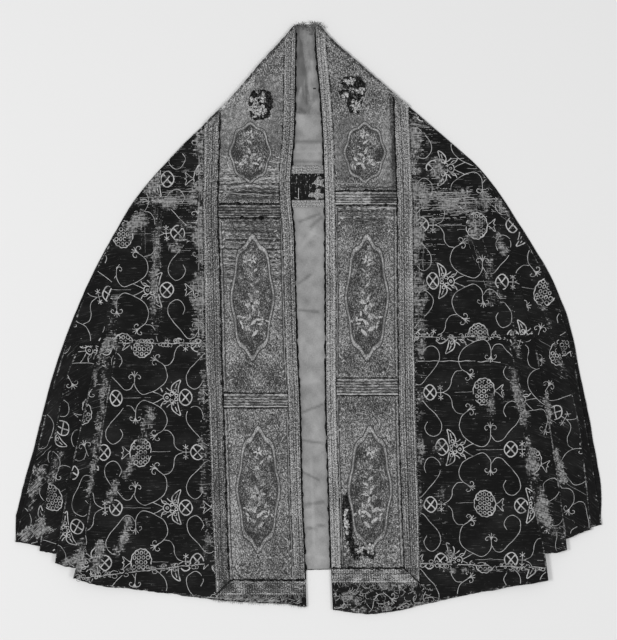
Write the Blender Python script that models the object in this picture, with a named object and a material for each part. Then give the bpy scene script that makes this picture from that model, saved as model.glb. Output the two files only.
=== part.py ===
"""A lined velvet cope with embroidered orphreys, laid flat, its fronts up, three knife pleats a side.

Metres. The cope lies on z = 0. +Y points to the neck, +X to the right as seen from the front, and +Z up.
A depth is measured down from the neck along -Y, and an offset sideways from the middle of the opening.
"""

import math

import bmesh
import bpy

# Overall sizes.
LENGTH = 1.4455          # neck to the lowest point of the front hem
NECK_Y = LENGTH / 2
BACK_LENGTH = 1.338      # neck to the hem at the middle of the back
ORPHREY_BAND = 0.212     # width of the orphrey that passes behind the neck
BACK_SEAM = 0.240        # offset of the seams beside the centre back width
SEAM_GAP = 0.0003        # between two pieces sewn edge to edge

# Cloth thicknesses and the heights that pieces lie at.
CLOTH = 0.0020           # velvet with its lining
LINING = 0.0010
LINING_Z = 0.0024
STRAP = 0.0010
STRAP_Z = 0.0038
BRAID_Z = 0.0051
BRAID = 0.0012
FRONT_Z = 0.0070         # top of the velvet where a front lies on the lining
PANEL_Z = 0.0074         # underside of the embroidered panels
PANEL = 0.0014
GUARD = 0.0024
BAND = 0.0026
DEVICE_Z = 0.0092
LAYER_GAP = 0.0006       # between a front and the pleats under it
FOLD_FLOOR_Z = 0.0039    # underside of the pleats, over the lining
EDGE_FLOOR_Z = 0.0024    # underside of a fold's edge, over the back
PLEAT_RISE = 0.0040      # height that one knife pleat adds
BACK_INSET = 0.0010      # the back stops this far inside the fold
LINING_INSET = 0.014
LINING_INSET_SHARE = 0.12  # most of the half width that the lining's inset takes near the neck
ORPHREY_INSET = 0.005    # the orphreys stop this far inside the fold
FRONT_INSET = 0.001      # and this far inside the front edge

# A fold's edge: how far in from the edge, and how much the top and the underside drop there.
ROLL = (
    # inset,  top,    underside
    (0.0100, 0.00000, 0.00000),
    (0.0040, 0.00035, 0.00020),
    (0.0012, 0.00120, 0.00090),
    (0.0000, 0.00240, 0.00180),
)
ROLL_ROOM = 0.030        # a piece narrower than this has a narrower roll
UPPER_ROLL = 1.25        # the fold at the cope's edge drops this much more than a pleat's
CLOSED_ROLL = 0.3        # share of the drop that a pleat keeps where it is closed

SECTIONS = {
    "right": (
        # depth, front_edge, guard_seam, orphrey_edge, outline
        (0.000, 0.016, 0.203, 0.243, 0.023),
        (0.050, 0.018, 0.204, 0.244, 0.070),
        (0.100, 0.022, 0.206, 0.244, 0.128),
        (0.186, 0.030, 0.209, 0.245, 0.227),
        (0.284, 0.036, 0.212, 0.248, 0.342),
        (0.358, 0.038, 0.215, 0.251, 0.420),
        (0.431, 0.040, 0.217, 0.254, 0.474),
        (0.505, 0.041, 0.218, 0.255, 0.518),
        (0.578, 0.041, 0.218, 0.256, 0.560),
        (0.652, 0.042, 0.219, 0.257, 0.597),
        (0.725, 0.042, 0.219, 0.257, 0.625),
        (0.799, 0.042, 0.220, 0.258, 0.646),
        (0.921, 0.043, 0.221, 0.262, 0.668),
        (1.044, 0.046, 0.224, 0.265, 0.690),
        (1.166, 0.050, 0.228, 0.269, 0.709),
        (1.227, 0.052, 0.230, 0.270, 0.719),
        (1.350, 0.056, 0.236, 0.272, 0.736),
        (1.446, 0.060, 0.238, 0.274, 0.746),
    ),
    "left": (
        (0.000, 0.031, 0.216, 0.254, 0.031),
        (0.050, 0.031, 0.216, 0.254, 0.075),
        (0.100, 0.032, 0.216, 0.254, 0.121),
        (0.186, 0.033, 0.216, 0.254, 0.195),
        (0.284, 0.036, 0.218, 0.255, 0.295),
        (0.358, 0.043, 0.220, 0.256, 0.366),
        (0.431, 0.043, 0.222, 0.258, 0.425),
        (0.505, 0.036, 0.221, 0.257, 0.469),
        (0.578, 0.034, 0.218, 0.256, 0.508),
        (0.652, 0.032, 0.216, 0.254, 0.543),
        (0.725, 0.030, 0.214, 0.253, 0.572),
        (0.799, 0.028, 0.213, 0.252, 0.599),
        (0.921, 0.022, 0.209, 0.245, 0.636),
        (1.044, 0.019, 0.205, 0.240, 0.665),
        (1.166, 0.016, 0.201, 0.237, 0.695),
        (1.269, 0.011, 0.198, 0.232, 0.719),
        (1.350, 0.008, 0.195, 0.228, 0.735),
        (1.446, 0.004, 0.193, 0.224, 0.750),
    ),
}
SECTION_COLUMNS = ("depth", "front_edge", "guard_seam", "orphrey_edge", "outline")

FOLDS = {
    "right": (
        # depth, fold_a, fold_b, fold_c
        (0.529, 0.430, 0.479, 0.510),
        (0.652, 0.455, 0.521, 0.565),
        (0.767, 0.477, 0.552, 0.600),
        (0.799, 0.497, 0.559, 0.614),
        (0.884, 0.513, 0.574, 0.640),
        (0.946, 0.521, 0.585, 0.656),
        (1.019, 0.530, 0.597, 0.669),
        (1.105, 0.543, 0.610, 0.679),
        (1.191, 0.557, 0.622, 0.688),
        (1.289, 0.577, 0.633, 0.698),
        (1.365, 0.587, 0.640, 0.704),
    ),
    "left": (
        (0.554, 0.430, 0.460, 0.480),
        (0.652, 0.448, 0.483, 0.515),
        (0.782, 0.469, 0.510, 0.560),
        (0.848, 0.481, 0.527, 0.588),
        (0.921, 0.494, 0.543, 0.607),
        (0.995, 0.506, 0.560, 0.620),
        (1.068, 0.516, 0.576, 0.631),
        (1.166, 0.533, 0.595, 0.645),
        (1.264, 0.550, 0.612, 0.656),
        (1.310, 0.563, 0.619, 0.661),
        (1.355, 0.575, 0.625, 0.665),
    ),
}
FOLD_COLUMNS = ("depth", "fold_a", "fold_b", "fold_c")

# The hem of each front, and where each pleat's own hem lies.
HEMS = {
    "right": (
        # offset, depth
        (0.058, 1.4360),
        (0.143, 1.4455),
        (0.231, 1.4360),
        (0.330, 1.4110),
        (0.447, 1.3870),
        (0.518, 1.3745),
        (0.587, 1.3620),
    ),
    "left": (
        (0.004, 1.4280),
        (0.058, 1.4210),
        (0.168, 1.4160),
        (0.229, 1.4110),
        (0.339, 1.3965),
        (0.413, 1.3870),
        (0.511, 1.3745),
        (0.575, 1.3550),
    ),
}
HEM_COLUMNS = ("offset", "depth")

PLEAT_HEMS = {
    # side: first, second and third pleat, each at its inner and its outer edge
    "right": ((1.298, 1.290), (1.262, 1.238), (1.230, 1.227)),
    "left": ((1.334, 1.322), (1.298, 1.290), (1.281, 1.269)),
}
SIDE_SIGN = {"left": -1, "right": 1}
FIRST_SEAM = {"left": 0.782, "right": 0.767}
SECOND_SEAM = {
    # side: depth beside the orphrey, and how much deeper it lies a metre further out
    "left": (1.320, 0.108),
    "right": (1.321, 0.030),
}
INNER_GUARD = {"left": 0.0275, "right": 0.0250}
BANDS = {
    # side: the first and the second cross band, each from one depth to another
    "left": ((0.4410, 0.4750), (0.9040, 0.9410)),
    "right": ((0.4090, 0.4435), (0.8670, 0.9110)),
}
BOTTOM_GUARD = {"left": (1.362, 1.399), "right": (1.333, 1.369)}

# Where each pleat opens. The first pleat starts at the first seam.
OPENING = {
    # pleat: start depth, depth where it is fully open, least share
    "a": (None, 1.00, 0.0),
    "b": (0.50, 1.00, 0.0),
    "c": (0.86, 1.06, 0.08),
}
PLEAT_TUCK = 0.0006      # a pleat starts this far outside the fold that it comes from
FOLD_UNDERCUT = 0.0010   # the crease below a fold's edge goes back in this far
CREASE_LIFT = 0.0002     # and stays this far above the next pleat
CREASE_LEAD = 0.08       # the front begins to rise this far above the first row of its folds
CREASE_BLEND = 0.012     # width over which it drops again outside its crease
CREASE_CREST = 0.030     # its crest starts this far inside its crease
RISE_WIDTH = 0.24        # most of the width over which a front rises to its fold
EDGE_DROP_WIDTH = 0.013  # width over which the folded side comes down to the back

# The clasp strap and its braids.
STRAP_START = 0.3467
STRAP_END = 0.4484
STRAP_TUCK = 0.012       # length of the strap that lies under each front
BRAID_WIDTHS = {"upper": 0.0196, "lower": 0.0172}
BRAID_INSET = 0.0020     # the braids stop this far short of the fronts

# Soft ridges in the velvet of each front.
RIDGES = {
    "right": (
        # start offset, depth; end offset, depth; half width, height
        (0.350, 0.560, 0.390, 1.250, 0.034, 0.0018),
        (0.420, 0.840, 0.475, 1.400, 0.030, 0.0022),
    ),
    "left": (
        (0.385, 0.900, 0.470, 1.190, 0.032, 0.0022),
        (0.330, 0.600, 0.345, 1.050, 0.030, 0.0016),
        (0.400, 1.180, 0.440, 1.380, 0.028, 0.0016),
    ),
}

# Rows and columns of the meshes.
UPPER_DEPTHS = (
    0.012, 0.030, 0.060, 0.100, 0.143, 0.186, 0.235, 0.284, 0.332, 0.382,
    0.431, 0.480, 0.529, 0.578, 0.627, 0.674, 0.722,
)
UPPER_COLUMNS = (0.0, 0.20, 0.40, 0.50, 0.58, 0.66, 0.73, 0.79, 0.835, 0.865, 0.895, 0.930)
MIDDLE_ROWS = 11
BOTTOM_ROWS = (0.0, 0.4, 0.8, 1.0)
FIELD_COLUMNS = (0.0, 0.14, 0.28, 0.42, 0.56, 0.70, 0.85, 1.0)
FIELD_START = 0.012      # the open velvet starts this far outside the orphrey
FIELD_END = 0.025        # its last column lies this far inside the first fold
LEAST_STEP = 0.0002      # between two neighbouring columns of an underside
NECK_ROW_STEP = 0.05
CENTRE_CORNER_ROWS = (0.226, 0.240, 0.254, 0.268)
CENTRE_STEP = 0.14
CENTRE_START = 0.33
BACK_SIDE_START = {"right": 0.2122, "left": 0.250}
BACK_STEP = 0.062
BACK_LAST_ROW = 1.19
LINING_START = 0.006
LINING_SEAM = 0.2200
LINING_STEP = 0.08
LINING_LAST_ROW = 1.18
LINING_HEM_GAP = 0.002   # the lining stops this far above the back's hem
GUARD_TOP_ROWS = (0.05, 0.08)
GUARD_START = 0.12
INNER_GUARD_STEP = 0.055
OUTER_GUARD_STEP = 0.07
PANEL_TOP_END = 0.26     # the top panel's rows lie closer together down to here
PANEL_START = 0.29
PANEL_STEP = 0.06

# Least widths that a piece of the orphrey has where the cope's edge cuts it off.
NARROW_GUARD_IN = 0.008
NARROW_GUARD_OUT = 0.006
NARROW_PANEL = 0.008

DEVICES = (
    # name, depth, half width, half height
    ("top", 0.315, 0.050, 0.072),
    ("middle", 0.670, 0.052, 0.150),
    ("lower", 1.140, 0.052, 0.150),
)
DEVICE_RINGS = (
    # size, height
    (1.00, 0.0000),
    (1.00, 0.0007),
    (0.90, 0.0011),
    (0.80, 0.0008),
    (0.45, 0.0012),
)
DEVICE_DOME = 0.0014
DEVICE_POINTS = 32
DEVICE_LOBES = 8
LOBE_DEPTH = 0.05
DEVICE_PINCH = 0.14      # how much narrower a device is towards its two ends


def start_empty():
    for old in list(bpy.data.objects):
        bpy.data.objects.remove(old, do_unlink=True)


def smoothstep(value):
    value = min(1.0, max(0.0, value))
    return value * value * (3 - 2 * value)


def curve_at(rows, columns, wanted, at):
    """The value of one column of a table at a place along its first column, on a smooth curve."""
    column = columns.index(wanted)
    last = len(rows) - 1
    if at <= rows[0][0]:
        return rows[0][column]
    if at >= rows[last][0]:
        return rows[last][column]
    index = next(i for i in range(last) if at <= rows[i + 1][0])

    def slope(i):
        low, high = rows[max(i - 1, 0)], rows[min(i + 1, last)]
        return (high[column] - low[column]) / (high[0] - low[0])

    start, end = rows[index], rows[index + 1]
    span = end[0] - start[0]
    t = (at - start[0]) / span
    return (
        (2 * t**3 - 3 * t**2 + 1) * start[column]
        + (t**3 - 2 * t**2 + t) * span * slope(index)
        + (3 * t**2 - 2 * t**3) * end[column]
        + (t**3 - t**2) * span * slope(index + 1)
    )


def section(side, wanted, depth):
    return curve_at(SECTIONS[side], SECTION_COLUMNS, wanted, depth)


def fold(side, wanted, depth):
    return curve_at(FOLDS[side], FOLD_COLUMNS, wanted, depth)


def hem(side, offset):
    return curve_at(HEMS[side], HEM_COLUMNS, "depth", offset)


def second_seam(side, offset):
    depth, lean = SECOND_SEAM[side]
    return depth + lean * max(0.0, offset - section(side, "orphrey_edge", depth))


def back_hem(x):
    side = "right" if x > 0 else "left"
    corner = PLEAT_HEMS[side][2][1]
    reach = section(side, "outline", corner)
    return BACK_LENGTH - (BACK_LENGTH - corner) * (abs(x) / reach) ** 2


def place(side, offset, depth, height):
    return (SIDE_SIGN[side] * offset, NECK_Y - depth, height)


# Heights of the folded side: each pleat adds its rise where it has opened.
def opened(side, pleat, depth):
    start, full, least = OPENING[pleat]
    if start is None:
        start = FIRST_SEAM[side]
    return max(least, smoothstep((depth - start) / (full - start)))


def second_top(side, depth):
    return FRONT_Z + PLEAT_RISE * opened(side, "c", depth)


def first_top(side, depth):
    return second_top(side, depth) + PLEAT_RISE * opened(side, "b", depth)


def front_edge_top(side, depth):
    return first_top(side, depth) + PLEAT_RISE * opened(side, "a", depth)


def ridge_height(side, offset, depth):
    total = 0.0
    for x0, d0, x1, d1, half_width, height in RIDGES[side]:
        along = (depth - d0) / (d1 - d0)
        if not 0 < along < 1:
            continue
        away = abs(offset - (x0 + (x1 - x0) * along)) / half_width
        total += height * math.sin(math.pi * along) * smoothstep(1 - away)
    return total


def upper_top(side, offset, depth):
    """Height of a front's velvet above the first seam."""
    start = section(side, "orphrey_edge", depth) + FIELD_START
    fold_b = fold(side, "fold_b", depth)
    if depth < FOLDS[side][0][0] - CREASE_LEAD or offset < start:
        return FRONT_Z
    height = PLEAT_RISE * opened(side, "b", depth)
    if offset > fold_b:
        return FRONT_Z + height * smoothstep(1 - (offset - fold_b) / CREASE_BLEND)
    rise = smoothstep((offset - start) / (fold_b - CREASE_CREST - start))
    return FRONT_Z + height * rise + ridge_height(side, offset, depth)


def lower_top(side, offset, depth):
    """Height of a front's velvet below the first seam, out to the first fold."""
    fold_a = fold(side, "fold_a", depth)
    start = max(section(side, "orphrey_edge", depth) + FIELD_START, fold_a - RISE_WIDTH)
    if offset < start:
        return FRONT_Z
    rise = smoothstep((offset - start) / (fold_a - FIELD_END - start))
    crest = front_edge_top(side, depth)
    return FRONT_Z + (crest - FRONT_Z) * rise + ridge_height(side, offset, depth)


def add_object(name, vertices, faces, material):
    mesh = bpy.data.meshes.new(name)
    mesh.from_pydata(vertices, [], faces)
    work = bmesh.new()
    work.from_mesh(mesh)
    bmesh.ops.recalc_face_normals(work, faces=work.faces)
    work.to_mesh(mesh)
    work.free()
    mesh.materials.append(material)
    made = bpy.data.objects.new(name, mesh)
    bpy.context.scene.collection.objects.link(made)
    return made


def sheet(name, top, underside, material):
    """A closed wall between two grids of points that have the same rows and columns."""
    rows, columns = len(top), len(top[0])
    count = rows * columns
    vertices = [point for row in top for point in row]
    vertices += [point for row in underside for point in row]

    def at(row, column, layer):
        return layer * count + row * columns + column

    faces = []
    for row in range(rows - 1):
        for column in range(columns - 1):
            for layer in (0, 1):
                a = at(row, column, layer)
                b = at(row, column + 1, layer)
                c = at(row + 1, column + 1, layer)
                d = at(row + 1, column, layer)
                faces += [(a, b, c), (a, c, d)] if layer else [(c, b, a), (d, c, a)]
    rim = [(0, c) for c in range(columns)]
    rim += [(r, columns - 1) for r in range(1, rows)]
    rim += [(rows - 1, c) for c in range(columns - 2, -1, -1)]
    rim += [(r, 0) for r in range(rows - 2, 0, -1)]
    for (r0, c0), (r1, c1) in zip(rim, rim[1:] + rim[:1]):
        a, b = at(r0, c0, 0), at(r1, c1, 0)
        c, d = at(r1, c1, 1), at(r0, c0, 1)
        faces += [(a, b, c), (a, c, d)]
    return add_object(name, vertices, faces, material)


def flat_strip(name, side, depths, inner, outer, z, thickness, material, columns=2):
    """A flat piece between two edges, each a function of the depth."""
    top, underside = [], []
    for depth in depths:
        low, high = inner(depth), outer(depth)
        offsets = [low + (high - low) * c / (columns - 1) for c in range(columns)]
        top.append([place(side, x, depth, z + thickness) for x in offsets])
        underside.append([place(side, x, depth, z) for x in offsets])
    return sheet(name, top, underside, material)


def spread(start, end, count):
    return [start + (end - start) * i / (count - 1) for i in range(count)]


def rolled_columns(edge, room):
    """Offsets beside a fold's edge, closer together where the piece is narrow."""
    scale = min(1.0, room / ROLL_ROOM)
    return [edge - inset * scale for inset, _, _ in ROLL]


def upper_width(side, material):
    """The velvet of a front from the neck to the first seam, out to the fold at the cope's edge."""
    top, underside = [], []
    for depth in UPPER_DEPTHS + (FIRST_SEAM[side] - SEAM_GAP / 2,):
        inner, outer = section(side, "front_edge", depth), section(side, "outline", depth)
        edge = rolled_columns(outer, outer - inner)
        offsets = [inner + (edge[0] - inner) * share for share in UPPER_COLUMNS]
        heights = [upper_top(side, x, depth) for x in offsets]
        top_row = [place(side, x, depth, z) for x, z in zip(offsets, heights)]
        under_row = [place(side, x, depth, z - CLOTH) for x, z in zip(offsets, heights)]
        reach = FRONT_Z - CLOTH - EDGE_FLOOR_Z
        for x, (_, drop, under_drop) in zip(edge, ROLL):
            top_row.append(place(side, x, depth, upper_top(side, x, depth) - UPPER_ROLL * drop))
            share = under_drop / ROLL[-1][2]
            under_row.append(place(side, x, depth, FRONT_Z - CLOTH - reach * share))
        top.append(top_row)
        underside.append(under_row)
    return sheet(f"{side}_front_upper_width", top, underside, material)


def front_columns(side, depth):
    """Offsets across a front below the first seam."""
    inner = section(side, "front_edge", depth)
    start = section(side, "orphrey_edge", depth) + FIELD_START
    fold_a = fold(side, "fold_a", depth)
    end = fold_a - FIELD_END
    field = [start + (end - start) * share for share in FIELD_COLUMNS]
    return [inner, (inner + start) / 2] + field + [fold_a - inset for inset, _, _ in ROLL]


def front_heights(side, offsets, depth):
    """Top and underside of a front below the first seam, at each of its columns."""
    open_share = opened(side, "a", depth)
    pairs = []
    plain = len(offsets) - len(ROLL)
    for x in offsets[:plain]:
        z = lower_top(side, x, depth)
        pairs.append((z, z - CLOTH))
    crest = front_edge_top(side, depth)
    top_share = CLOSED_ROLL + (1 - CLOSED_ROLL) * open_share
    for _, drop, under_drop in ROLL:
        pairs.append((crest - drop * top_share, crest - CLOTH - under_drop * open_share))
    return pairs


def row_depths(side, column, row):
    """Depth of one column at a row: the middle width's rows, then the bottom width's."""
    guess = SECOND_SEAM[side][0]
    offset = front_columns(side, guess)[column]
    first, second = FIRST_SEAM[side], second_seam(side, offset)
    if row < MIDDLE_ROWS:
        return first + SEAM_GAP / 2 + (second - first - SEAM_GAP) * row / (MIDDLE_ROWS - 1)
    share = BOTTOM_ROWS[row - MIDDLE_ROWS]
    top = second + SEAM_GAP / 2
    return top + (hem(side, offset) - top) * share


def front_point(side, column, row):
    """Offset, depth, top and underside of a front at a column and row."""
    depth = row_depths(side, column, row)
    offsets = front_columns(side, depth)
    top, underside = front_heights(side, offsets, depth)[column]
    return offsets[column], depth, top, underside


def lower_width(name, side, rows, material):
    columns = len(front_columns(side, FIRST_SEAM[side]))
    top, underside = [], []
    for row in rows:
        points = [front_point(side, column, row) for column in range(columns)]
        top.append([place(side, x, depth, high) for x, depth, high, _ in points])
        underside.append([place(side, x, depth, low) for x, depth, _, low in points])
    return sheet(name, top, underside, material)


def pleat_columns(side, depth):
    """The pleats outside the first fold: offset, height, pleat number and share towards its outer edge."""
    a, b, c = (fold(side, name, depth) for name in FOLD_COLUMNS[1:])
    edge = section(side, "outline", depth)
    tops = (first_top(side, depth), second_top(side, depth), FRONT_Z)
    shares = (opened(side, "b", depth), opened(side, "c", depth), 1.0)
    points = []
    for number, (inner, outer, z, share) in enumerate(zip((a, b, c), (b, c, edge), tops, shares)):
        points.append((inner + PLEAT_TUCK, z, number, 0.0))
        points.append(((inner + outer) / 2, z, number, 0.5))
        scale = min(1.0, (outer - inner) / ROLL_ROOM)
        for inset, drop, _ in ROLL:
            points.append((outer - inset * scale, z - drop * share, number, 1.0))
        if number < 2:
            crease = tops[number + 1] + CREASE_LIFT * share
            points.append((outer - FOLD_UNDERCUT * share, crease, number, 1.0))
    return points


def pleat_under(side, offset, depth):
    """Underside of the folded side: over the lining, then down to the back at the edge."""
    inset = section(side, "outline", depth) - offset
    drop = smoothstep(1 - (inset - BACK_INSET) / EDGE_DROP_WIDTH)
    return FOLD_FLOOR_Z - (FOLD_FLOOR_Z - EDGE_FLOOR_Z) * drop


def side_folds(side, material):
    """The pleats at one side, as one rounded body that is layered at its fold edges and its hem."""
    first_hidden = 2
    hidden = range(first_hidden, len(front_columns(side, FIRST_SEAM[side])))
    last_row = MIDDLE_ROWS + len(BOTTOM_ROWS) - 2
    rows = [r for r in range(last_row + 1) if r != MIDDLE_ROWS]
    start = row_depths(side, hidden[-1], 0)
    end = row_depths(side, hidden[-1], last_row)
    top, underside = [], []
    for row in rows:
        spots = []
        for column in hidden:
            x, depth, _, low = front_point(side, column, row)
            spots.append((x, depth, low - LAYER_GAP))
        along = (row_depths(side, hidden[-1], row) - start) / (end - start)
        for number in range(len(pleat_columns(side, start))):
            pleat, share = pleat_columns(side, start)[number][2:]
            inner_hem, outer_hem = PLEAT_HEMS[side][pleat]
            depth = start + (inner_hem + (outer_hem - inner_hem) * share - start) * along
            x, z = pleat_columns(side, depth)[number][:2]
            spots.append((x, depth, z))
        top.append([place(side, x, depth, z) for x, depth, z in spots])
        low_row, reached = [], -1.0
        for x, depth, _ in spots:
            reached = max(reached + LEAST_STEP, x)
            low_row.append(place(side, reached, depth, pleat_under(side, reached, depth)))
        underside.append(low_row)
    return sheet(f"{side}_side_folds", top, underside, material)


def back_outline(side, depth):
    """The outline, down to the corner of the back's hem."""
    return section(side, "outline", min(depth, PLEAT_HEMS[side][2][1]))


def back_edge(side, limit=None):
    """A side edge of the back: a function that gives its x at a depth."""

    def edge(depth):
        reach = back_outline(side, depth) - BACK_INSET
        if limit is not None:
            reach = min(reach, limit)
        return SIDE_SIGN[side] * reach

    return edge


def back_grid(name, depths, left, right, z, thickness, material, columns=5, hem_gap=None):
    """A flat piece of the back between two edges. With a hem gap, its last row follows the hem."""
    top, underside = [], []
    for row, depth in enumerate(depths):
        at_hem = hem_gap is not None and row == len(depths) - 1
        points = []
        for share in spread(0.0, 1.0, columns):
            x = left(depth) + (right(depth) - left(depth)) * share
            y = NECK_Y - (back_hem(x) - hem_gap if at_hem else depth)
            points.append((x, y))
        top.append([(x, y, z + thickness) for x, y in points])
        underside.append([(x, y, z) for x, y in points])
    return sheet(name, top, underside, material)


def depths_between(start, end, step):
    count = max(2, round((end - start) / step) + 1)
    return spread(start, end, count)


def build_back(velvet, orphrey):
    half = SEAM_GAP / 2
    rows = depths_between(0.0, ORPHREY_BAND - half, NECK_ROW_STEP)
    back_grid("back_neck_orphrey", rows, back_edge("left"), back_edge("right"), 0.0, CLOTH, orphrey)

    rows = [ORPHREY_BAND + half, *CENTRE_CORNER_ROWS]
    rows += depths_between(CENTRE_START, BACK_LAST_ROW, CENTRE_STEP) + [LENGTH]
    left = back_edge("left", BACK_SEAM - half)
    right = back_edge("right", BACK_SEAM - half)
    back_grid("back_centre_width", rows, left, right, 0.0, CLOTH, velvet, hem_gap=0.0)

    for side, start in BACK_SIDE_START.items():
        seam = SIDE_SIGN[side] * (BACK_SEAM + half)
        rows = depths_between(start, BACK_LAST_ROW, BACK_STEP) + [LENGTH]
        name = f"back_{side}_width"
        back_grid(name, rows, lambda depth: seam, back_edge(side), 0.0, CLOTH, velvet, hem_gap=0.0)


def lining_edge(side):
    """A side edge of the lining: a function that gives its x at a depth."""

    def edge(depth):
        reach = back_outline(side, depth)
        return SIDE_SIGN[side] * (reach - min(LINING_INSET, LINING_INSET_SHARE * reach))

    return edge


def build_lining(lining):
    half = SEAM_GAP / 2
    left, right = lining_edge("left"), lining_edge("right")
    rows = depths_between(LINING_START, LINING_SEAM - half, NECK_ROW_STEP)
    back_grid("lining_top", rows, left, right, LINING_Z, LINING, lining, 3)
    rows = depths_between(LINING_SEAM + half, LINING_LAST_ROW, LINING_STEP) + [LENGTH]
    back_grid("lining_body", rows, left, right, LINING_Z, LINING, lining, 7, LINING_HEM_GAP)


def strap_piece(name, first, last, z, thickness, out, material):
    """A flat piece of the clasp strap. It reaches past each front's edge by out."""
    top, underside = [], []
    for depth in spread(first, last, 5):
        low = -section("left", "front_edge", depth) - out
        high = section("right", "front_edge", depth) + out
        xs = spread(low, high, 3)
        top.append([(x, NECK_Y - depth, z + thickness) for x in xs])
        underside.append([(x, NECK_Y - depth, z) for x in xs])
    sheet(name, top, underside, material)


def build_strap(velvet, braid):
    """The clasp strap between the fronts. Its field passes under them, its braids stop short of them."""
    upper_end = STRAP_START + BRAID_WIDTHS["upper"]
    lower_start = STRAP_END - BRAID_WIDTHS["lower"]
    strap_piece("clasp_strap", STRAP_START, STRAP_END, STRAP_Z, STRAP, STRAP_TUCK, velvet)
    strap_piece("clasp_braid_upper", STRAP_START, upper_end, BRAID_Z, BRAID, -BRAID_INSET, braid)
    strap_piece("clasp_braid_lower", lower_start, STRAP_END, BRAID_Z, BRAID, -BRAID_INSET, braid)


def clipped(side, edge):
    """An orphrey edge that stops short of the fold at the cope's edge."""
    return lambda depth: min(edge(depth), section(side, "outline", depth) - ORPHREY_INSET)


def first_depth(inner, outer, width):
    """The first depth at which a piece between two edges is as wide as this."""
    depth = 0.0
    while outer(depth) - inner(depth) < width:
        depth += 0.002
    return depth


def orphrey_edge(side, wanted, shift=0.0):
    """An edge of an orphrey piece: a function that gives its offset at a depth."""
    return lambda depth: section(side, wanted, depth) + shift


def build_guards(side, material):
    half = SEAM_GAP / 2
    front = orphrey_edge(side, "front_edge", FRONT_INSET)
    bottom_start, bottom_end = BOTTOM_GUARD[side]

    stop = clipped(side, orphrey_edge(side, "front_edge", INNER_GUARD[side] - half))
    limit = clipped(side, orphrey_edge(side, "front_edge", INNER_GUARD[side]))
    rows = [first_depth(front, limit, NARROW_GUARD_IN), *GUARD_TOP_ROWS]
    rows += depths_between(GUARD_START, bottom_start - half, INNER_GUARD_STEP)
    flat_strip(f"{side}_inner_guard", side, rows, front, stop, PANEL_Z, GUARD, material)

    outer = orphrey_edge(side, "orphrey_edge")
    first = first_depth(orphrey_edge(side, "guard_seam"), clipped(side, outer), NARROW_GUARD_OUT)
    rows = [first] + spread(first + 0.01, first + 0.05, 4)
    rows += depths_between(first + 0.08, bottom_start - half, OUTER_GUARD_STEP)
    start = orphrey_edge(side, "guard_seam", half)
    flat_strip(f"{side}_outer_guard", side, rows, start, clipped(side, outer), PANEL_Z, GUARD, material)

    rows = spread(bottom_start + half, bottom_end, 3)
    flat_strip(f"{side}_bottom_guard", side, rows, front, outer, PANEL_Z, GUARD, material, 4)


def build_panels(side, panel_material, band_material):
    """The three needlework panels of an orphrey, and the two ribbed bands between them."""
    half = SEAM_GAP / 2
    inside = orphrey_edge(side, "front_edge", INNER_GUARD[side] + half)
    outside = clipped(side, orphrey_edge(side, "guard_seam", -half))
    (first_start, first_end), (second_start, second_end) = BANDS[side]
    last = BOTTOM_GUARD[side][0]
    top_rows = spread(first_depth(inside, outside, NARROW_PANEL), PANEL_TOP_END, 7)
    pieces = {
        "top_panel": top_rows + depths_between(PANEL_START, first_start - half, PANEL_STEP),
        "middle_panel": depths_between(first_end + half, second_start - half, PANEL_STEP),
        "lower_panel": depths_between(second_end + half, last - half, PANEL_STEP),
    }
    for name, rows in pieces.items():
        full = f"{side}_orphrey_{name}"
        flat_strip(full, side, rows, inside, outside, PANEL_Z, PANEL, panel_material)
    for number, (start, end) in enumerate(BANDS[side], 1):
        rows = spread(start + half, end - half, 3)
        full = f"{side}_cross_band_{number}"
        flat_strip(full, side, rows, inside, outside, PANEL_Z, BAND, band_material, 3)


def device(name, side, depth, half_width, half_height, material):
    """A raised, applied device: a pointed oval with eight lobes and a domed middle."""
    inner = section(side, "front_edge", depth) + INNER_GUARD[side]
    middle = (inner + section(side, "guard_seam", depth)) / 2
    turns = [2 * math.pi * index / DEVICE_POINTS for index in range(DEVICE_POINTS)]
    vertices = []
    for size, height in DEVICE_RINGS:
        for turn in turns:
            lobe = size * (1 + LOBE_DEPTH * math.cos(DEVICE_LOBES * turn) * size)
            pinch = 1 - DEVICE_PINCH * (1 - abs(math.sin(turn)))
            x = middle + half_width * lobe * math.sin(turn) * pinch
            down = depth - half_height * lobe * math.cos(turn)
            vertices.append(place(side, x, down, DEVICE_Z + height))
    vertices.append(place(side, middle, depth, DEVICE_Z + DEVICE_DOME))
    faces = [tuple(range(DEVICE_POINTS))]
    for ring in range(len(DEVICE_RINGS) - 1):
        for index in range(DEVICE_POINTS):
            after = (index + 1) % DEVICE_POINTS
            a, b = ring * DEVICE_POINTS + index, ring * DEVICE_POINTS + after
            c, d = b + DEVICE_POINTS, a + DEVICE_POINTS
            faces += [(a, b, c), (a, c, d)]
    last = (len(DEVICE_RINGS) - 1) * DEVICE_POINTS
    for index in range(DEVICE_POINTS):
        faces.append((last + index, last + (index + 1) % DEVICE_POINTS, len(vertices) - 1))
    add_object(name, vertices, faces, material)


def make_material(name, colour, roughness):
    material = bpy.data.materials.new(name)
    material.use_nodes = True
    shader = material.node_tree.nodes["Principled BSDF"]
    shader.inputs["Base Color"].default_value = (*colour, 1.0)
    shader.inputs["Roughness"].default_value = roughness
    shader.inputs["Metallic"].default_value = 0.0
    return material


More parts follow.
